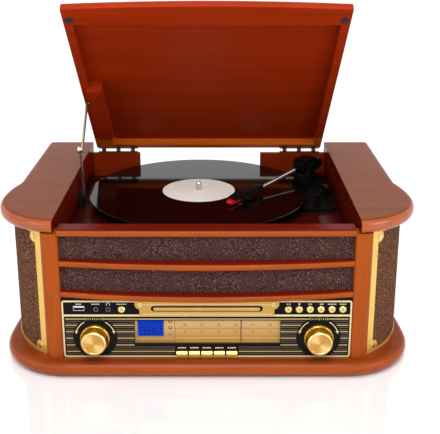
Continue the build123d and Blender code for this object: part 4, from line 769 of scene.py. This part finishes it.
discs, arrows = Facing(panel_y), Facing(panel_y)
ARROW_RADIUS = 23.4
for side in (-1, 1):
    x = side * knob_x
    discs.ring(circle(x, knob_z, disc_radius, 64), circle(x, knob_z, 5, 64), INK + 0.02)
    for turn, sense in ((122, 1), (58, -1)):
        last = turn + sense * 37
        outer = arc(x, knob_z, ARROW_RADIUS + 0.55, turn, last)
        inner = arc(x, knob_z, ARROW_RADIUS - 0.55, turn, last)
        arrows.prism(outer + inner[::-1], INK + 0.06)
        head = arc(x, knob_z, ARROW_RADIUS, last + sense * 10, last + sense * 10, 1)[0]
        out = arc(x, knob_z, ARROW_RADIUS + 1.9, last, last, 1)[0]
        into = arc(x, knob_z, ARROW_RADIUS - 1.9, last, last, 1)[0]
        arrows.prism([out, head, into], INK + 0.06)
    for i in range(9):
        tick = x - 10 + i * 2.5
        tall = 1.5 if i % 4 == 0 else 1.0
        arrows.bar(tick - 0.35, tick + 0.35, 69.4 - tall, 69.4 + tall, INK + 0.06)
discs.finish("knob_discs", black_ink_and_gap_shade)
arrows.finish("knob_arrows", pale_gold_ink_and_highlight)

# Pale lines along the top edge of the disc plate and above the trim bar: painted highlights.
plate_highlight_lines = Facing(box_mm("cd_plate")[0].y)
plate_highlight_lines.bar(-76.5, 76.5, 88, 89.6, INK)
plate_highlight_lines.bar(-76.5, 76.5, 75.8, 76.7, INK)
plate_highlight_lines.finish("plate_highlight_lines", pale_gold_ink_and_highlight)

USB_X, USB_Z = -150, 83.3
LINE_JACK_X, HEADPHONE_X, SOURCE_X = -130, -115.6, -99.8
tongue = Facing(panel_y + 1.5)
tongue.prism(rounded(USB_X - 5.9, USB_X + 5.9, USB_Z + 0.5, USB_Z + 2.3, 0.3, 2), 1, -9)
tongue.finish("usb_tongue", white_plastic)

tray_low, tray_high = box_mm("cd_tray")
# A dark ring round the tray's face: painted shadow in the gap between the tray and the plate.
tray_gap_shade = Facing(tray_low.y)
half_tray = tray_high.x
tray_gap_shade.ring(
    rounded(-half_tray, half_tray, tray_low.z + 0.05, tray_high.z - 0.05, 2.8),
    rounded(-half_tray + 2.2, half_tray - 2.2, tray_low.z + 0.85, tray_high.z - 0.85, 1.9),
    0.05,
)
tray_gap_shade.finish("tray_gap_shade", black_ink_and_gap_shade, "tray")

# Marks above the buttons and sockets: plain signs and dashes.
marks = Facing(panel_y)
button_x = [sum(v.x for v in box_mm(f"function_button_{i}")) / 2 for i in range(1, 7)]
mark_z = 88.6
marks.prism(
    [(button_x[0] - 2, mark_z - 1.1), (button_x[0] + 0.1, mark_z), (button_x[0] - 2, mark_z + 1.1)], INK
)
for dx in (0.6, 1.7):
    marks.bar(button_x[0] + dx, button_x[0] + dx + 0.6, mark_z - 1.1, mark_z + 1.1, INK)
marks.bar(button_x[1] - 1.2, button_x[1] + 1.2, mark_z - 1.2, mark_z + 1.2, INK)
for x, way in ((button_x[2], -1), (button_x[3], 1)):
    for dx in (-1.6, 0.3):
        tip = x + dx + (1.7 if way > 0 else 0)
        heel = x + dx + (0 if way > 0 else 1.7)
        marks.prism([(heel, mark_z - 1.1), (tip, mark_z), (heel, mark_z + 1.1)][:: -way], INK)
    marks.bar(x + way * 2.1 - 0.25, x + way * 2.1 + 0.25, mark_z - 1.1, mark_z + 1.1, INK)
for x, half in ((button_x[4], 5.2), (button_x[5], 4)):
    for i in range(4):
        first = x - half + i * half / 2 + 0.2
        marks.bar(first, first + half / 2 - 0.5, mark_z - 0.55, mark_z + 0.55, INK)
for x, half, count in ((SOURCE_X, 6, 5), (USB_X, 3.4, 3), (LINE_JACK_X, 5, 4)):
    for i in range(count):
        first = x - half + i * 2 * half / count
        marks.bar(first, first + 2 * half / count - 0.5, mark_z - 0.6, mark_z + 0.6, INK)
marks.prism(arc(HEADPHONE_X, mark_z, 2.2, -20, 200) + arc(HEADPHONE_X, mark_z, 1.5, 200, -20), INK)
marks.bar(HEADPHONE_X - 2.3, HEADPHONE_X - 1.3, mark_z - 1.7, mark_z - 0.2, INK)
marks.bar(HEADPHONE_X + 1.3, HEADPHONE_X + 2.3, mark_z - 1.7, mark_z - 0.2, INK)
marks.finish("panel_marks", white_ink)


# ---- Numbers ----------------------------------------------------------------------------------
def numerals(name, items, y, size, material, body="cabinet", proud=INK):
    """Upright numbers on a face that looks to the front, from (text, x, z) with z at their middle."""
    parts = []
    for text, x, z in items:
        curve = bpy.data.curves.new(name, "FONT")
        curve.body = text
        curve.size = size * MM
        curve.align_x = "CENTER"
        curve.align_y = "CENTER"
        curve.extrude = proud * MM / 2
        holder = bpy.data.objects.new(name, curve)
        mesh = bpy.data.meshes.new_from_object(holder)
        place = Matrix.Translation((x * MM, (y - proud / 2) * MM, z * MM))
        mesh.transform(place @ Matrix.Rotation(math.pi / 2, 4, "X"))
        parts.append(mesh)
        bpy.data.objects.remove(holder)
    draft = bmesh.new()
    for mesh in parts:
        draft.from_mesh(mesh)
        bpy.data.meshes.remove(mesh)
    bmesh.ops.remove_doubles(draft, verts=draft.verts, dist=0.00001)
    return piece(name, draft, material, body)


key_x = [sum(v.x for v in box_mm(f"piano_key_{i}")) / 2 for i in range(1, 6)]
label_z = 31.6
key_marks = Facing(panel_y)
for x in key_x:
    for i in range(4):
        first = x - 5 + i * 2.6
        key_marks.bar(first, first + 1.9, label_z - 0.75, label_z + 0.75, INK)
key_marks.finish("key_marks", white_ink)

# ---- Display ----------------------------------------------------------------------------------
lcd_low, lcd_high = box_mm("lcd_panel")
dial_y = lcd_low.y + 0.4
scale_left, scale_right = -38, display_high.x

scale = Facing(dial_y)
scale.bar(scale_left, scale_right, 36.8, 44.6, 0.03)
scale.finish("scale_band", deep_gold_ink, slot="dial_face")
rules = Facing(dial_y)
for z, tall in ((65.6, 0.3), (55.2, 0.5), (44.6, 0.4), (40.4, 0.6)):
    rules.bar(scale_left, scale_right, z - tall / 2, z + tall / 2, INK)
rules.bar(scale_left - 0.3, scale_left + 0.3, 36.8, 66.4, INK)
for i in range(61):
    x = scale_left + 6 + i * (scale_right - scale_left - 14) / 60
    tall = 1.6 if i % 5 == 0 else 0.9
    rules.bar(x - 0.15, x + 0.15, 56.6, 56.6 + tall, INK)
    rules.bar(x - 0.15, x + 0.15, 54.2 - tall, 54.2, INK)
rules.finish("scale_rules", brown_ink)
LAMP_X, LAMP_RADIUS, LAMP_GLASS = -43.5, 2.3, 1.8
LAMPS = (("green", 64.6, (58, 74, 46)), ("red", 56.1, (122, 58, 34)), ("grey", 47.6, (150, 142, 128)))
for name, z, tint in LAMPS:
    lamp = Facing(dial_y)
    lamp.ring(circle(LAMP_X, z, LAMP_RADIUS, 24), circle(LAMP_X, z, LAMP_GLASS, 24), INK)
    lamp.disc(LAMP_X, z, LAMP_GLASS, INK / 2, 24)
    lamp.finish(f"lamp_{name}", ink(f"lamp_{name}_ink", srgb(*tint), 0.3))
upper = ("88", "92", "96", "100", "104", "108")
lower = ("54", "60", "75", "100", "130", "160")
spread = [scale_left + 12 + i * 20 for i in range(6)]
numerals("scale_numbers", [(t, x, 59.6) for t, x in zip(upper, spread)]
         + [(t, x, 50.7) for t, x in zip(lower, spread)], dial_y, 3.8, brown_ink)

border = Facing(lcd_low.y)
border.ring(
    rounded(lcd_low.x - 0.5, lcd_high.x + 0.5, lcd_low.z - 0.6, lcd_high.z + 0.5, 0.4, 2),
    rounded(lcd_low.x + 0.3, lcd_high.x - 0.3, lcd_low.z + 0.2, lcd_high.z - 0.3, 0.2, 2),
    0.15,
)
border.finish("display_border", ink("border_ink", srgb(116, 112, 148), 0.3), slot="display_blue")

SEGMENTS = {"9": "abcdfg", "4": "bcfg", "0": "abcdef"}


def seven_segment(face, digit, x, z, width, height, stroke):
    """One digit of a segment display: flat bars with pointed ends."""
    half = stroke / 2
    flat = {"a": (x, z + height), "g": (x, z + height / 2), "d": (x, z)}
    tall = {
        "f": (x, z + height / 2), "b": (x + width, z + height / 2),
        "e": (x, z), "c": (x + width, z),
    }
    for segment in SEGMENTS[digit]:
        if segment in flat:
            a, b = flat[segment]
            c = a + width
            face.prism([(a + 0.15, b), (a + half + 0.15, b - half), (c - half - 0.15, b - half),
                        (c - 0.15, b), (c - half - 0.15, b + half), (a + half + 0.15, b + half)], 0.05)
        else:
            a, b = tall[segment]
            c = b + height / 2
            face.prism([(a, b + 0.15), (a + half, b + half + 0.15), (a + half, c - half - 0.15),
                        (a, c - 0.15), (a - half, c - half - 0.15), (a - half, b + half + 0.15)], 0.05)


digits = Facing(lcd_low.y)
for i, digit in enumerate("940"):
    seven_segment(digits, digit, lcd_low.x + 3.6 + i * 8.9, lcd_low.z + 1.6, 6, 10.8, 1.5)
digits.finish("display_digits", digit_ink, slot="display_blue")


# ---- Cloth ------------------------------------------------------------------------------------
def cloth_sheet(name, point, across, up, material, step=2.5):
    """Stretched cloth over a panel. point(u, v) gives a place and its outward direction, in millimetres."""
    random.seed(RANDOM_SEED)
    columns, rows = max(2, round(across / step)), max(2, round(up / step))
    draft = bmesh.new()
    grid = []
    for j in range(rows + 1):
        line = []
        for i in range(columns + 1):
            place, out = point(across * i / columns, up * j / rows)
            slub = 0.12 * noise.noise(place * 0.11) + 0.05 * random.uniform(-1, 1)
            line.append(draft.verts.new((place + out * slub) * MM))
        grid.append(line)
    for j in range(rows):
        for i in range(columns):
            face = draft.faces.new((grid[j][i], grid[j][i + 1], grid[j + 1][i + 1], grid[j + 1][i]))
            face.smooth = True
    made = piece(name, draft, material, "cabinet")
    return made


CLOTH_LIFT = 0.4
grille_low, grille_high = box_mm("front_grilles")
panel_pitch = 38.5
strip_height = 30
FRONT_BOWS = {"lower": (grille_low.z, 9), "upper": (grille_low.z + panel_pitch, 4)}
grille_edge_y = grille_low.y + 9  # both panels meet the posts this far back
half_width = grille_high.x


def bowed(z0, bow):
    """Places on a panel that bows forward by so much between its ends."""
    radius = (half_width**2 + bow**2) / (2 * bow)
    reach = math.asin(half_width / radius)
    centre_y = grille_edge_y - bow + radius

    def point(u, v):
        turn = -reach + u / radius
        out = Vector((math.sin(turn), -math.cos(turn), 0))
        return Vector((0, centre_y, z0 + v)) + out * (radius + CLOTH_LIFT), out

    return point, 2 * reach * radius


for name, (z0, bow) in FRONT_BOWS.items():
    point, length = bowed(z0, bow)
    cloth_sheet(f"front_cloth_{name}", point, length, strip_height, front_cloth)

side_low, side_high = box_mm("side_grilles")
GRILLE_RADIUS = 114.8
GRILLE_CENTRE = (125.3, -69.8)
GRILLE_FIRST, GRILLE_LAST = -55.0, 14.8


def curved(side):
    """Places on a side's curved wall, from the post round to the back."""

    def point(u, v):
        turn = math.radians(GRILLE_FIRST) + u / GRILLE_RADIUS
        out = Vector((side * math.cos(turn), math.sin(turn), 0))
        centre = Vector((side * GRILLE_CENTRE[0], GRILLE_CENTRE[1], side_low.z + v))
        return centre + out * (GRILLE_RADIUS + CLOTH_LIFT), out

    return point


side_length = math.radians(GRILLE_LAST - GRILLE_FIRST) * GRILLE_RADIUS
for name, side in (("left", -1), ("right", 1)):
    height = side_high.z - side_low.z
    cloth_sheet(f"side_cloth_{name}", curved(side), side_length, height, side_cloth)

# ---- Floor, light and camera ------------------------------------------------------------------
floor_draft = bmesh.new()
FLOOR_HALF = 6
corners = [floor_draft.verts.new((x, y, 0)) for x, y in
           ((-FLOOR_HALF, -FLOOR_HALF), (FLOOR_HALF, -FLOOR_HALF),
            (FLOOR_HALF, FLOOR_HALF), (-FLOOR_HALF, FLOOR_HALF))]
floor_draft.faces.new(corners)
floor_mesh = bpy.data.meshes.new("floor")
floor_draft.to_mesh(floor_mesh)
floor_draft.free()
floor_mesh.materials.append(floor_finish("floor_finish"))
floor = bpy.data.objects.new("floor", floor_mesh)
bpy.context.scene.collection.objects.link(floor)

AMBIENT = 0.33
world = bpy.data.worlds.new("studio")
bpy.context.scene.world = world
world.use_nodes = True
tree = world.node_tree
background = tree.nodes["Background"]
background.inputs["Color"].default_value = (1, 1, 1, 1)
light_path = tree.nodes.new("ShaderNodeLightPath")
seen = tree.nodes.new("ShaderNodeMath")
seen.operation = "MAXIMUM"
tree.links.new(light_path.outputs["Is Camera Ray"], seen.inputs[0])
tree.links.new(light_path.outputs["Is Glossy Ray"], seen.inputs[1])
through = tree.nodes.new("ShaderNodeMath")
through.operation = "MAXIMUM"
tree.links.new(seen.outputs[0], through.inputs[0])
tree.links.new(light_path.outputs["Is Transmission Ray"], through.inputs[1])
strength = tree.nodes.new("ShaderNodeMapRange")
strength.inputs["To Min"].default_value = AMBIENT
strength.inputs["To Max"].default_value = 1.0
tree.links.new(through.outputs[0], strength.inputs["Value"])
tree.links.new(strength.outputs[0], background.inputs["Strength"])


def softbox(name, place, target, size, power):
    """A square area lamp that points at a place."""
    lamp = bpy.data.lights.new(name, "AREA")
    lamp.shape = "SQUARE"
    lamp.size = size
    lamp.energy = power
    holder = bpy.data.objects.new(name, lamp)
    holder.location = place
    holder.rotation_euler = (Vector(target) - Vector(place)).to_track_quat("-Z", "Y").to_euler()
    bpy.context.scene.collection.objects.link(holder)
    return holder


softbox("high_front", (-0.05, -1.4, 1.6), (0, 0, 0.12), 0.9, 22)
softbox("left", (-1.6, -1.1, 0.5), (0, 0, 0.15), 0.8, 5)
softbox("right", (1.6, -1.1, 0.6), (0, 0, 0.15), 0.8, 10)
softbox("top", (0, -0.5, 2.2), (0, 0, 0.1), 1.2, 16)

camera_data = bpy.data.cameras.new("camera")
camera_data.sensor_width = 36
camera_data.lens = 67.648
camera_data.shift_x = 0.011345
camera_data.shift_y = -0.11741
camera = bpy.data.objects.new("camera", camera_data)
camera.location = (0.009593, -1.050233, 0.522442)
camera.rotation_euler = (math.radians(73.256), 0, 0)
bpy.context.scene.collection.objects.link(camera)
bpy.context.scene.camera = camera

bpy.context.scene.view_settings.view_transform = "Standard"
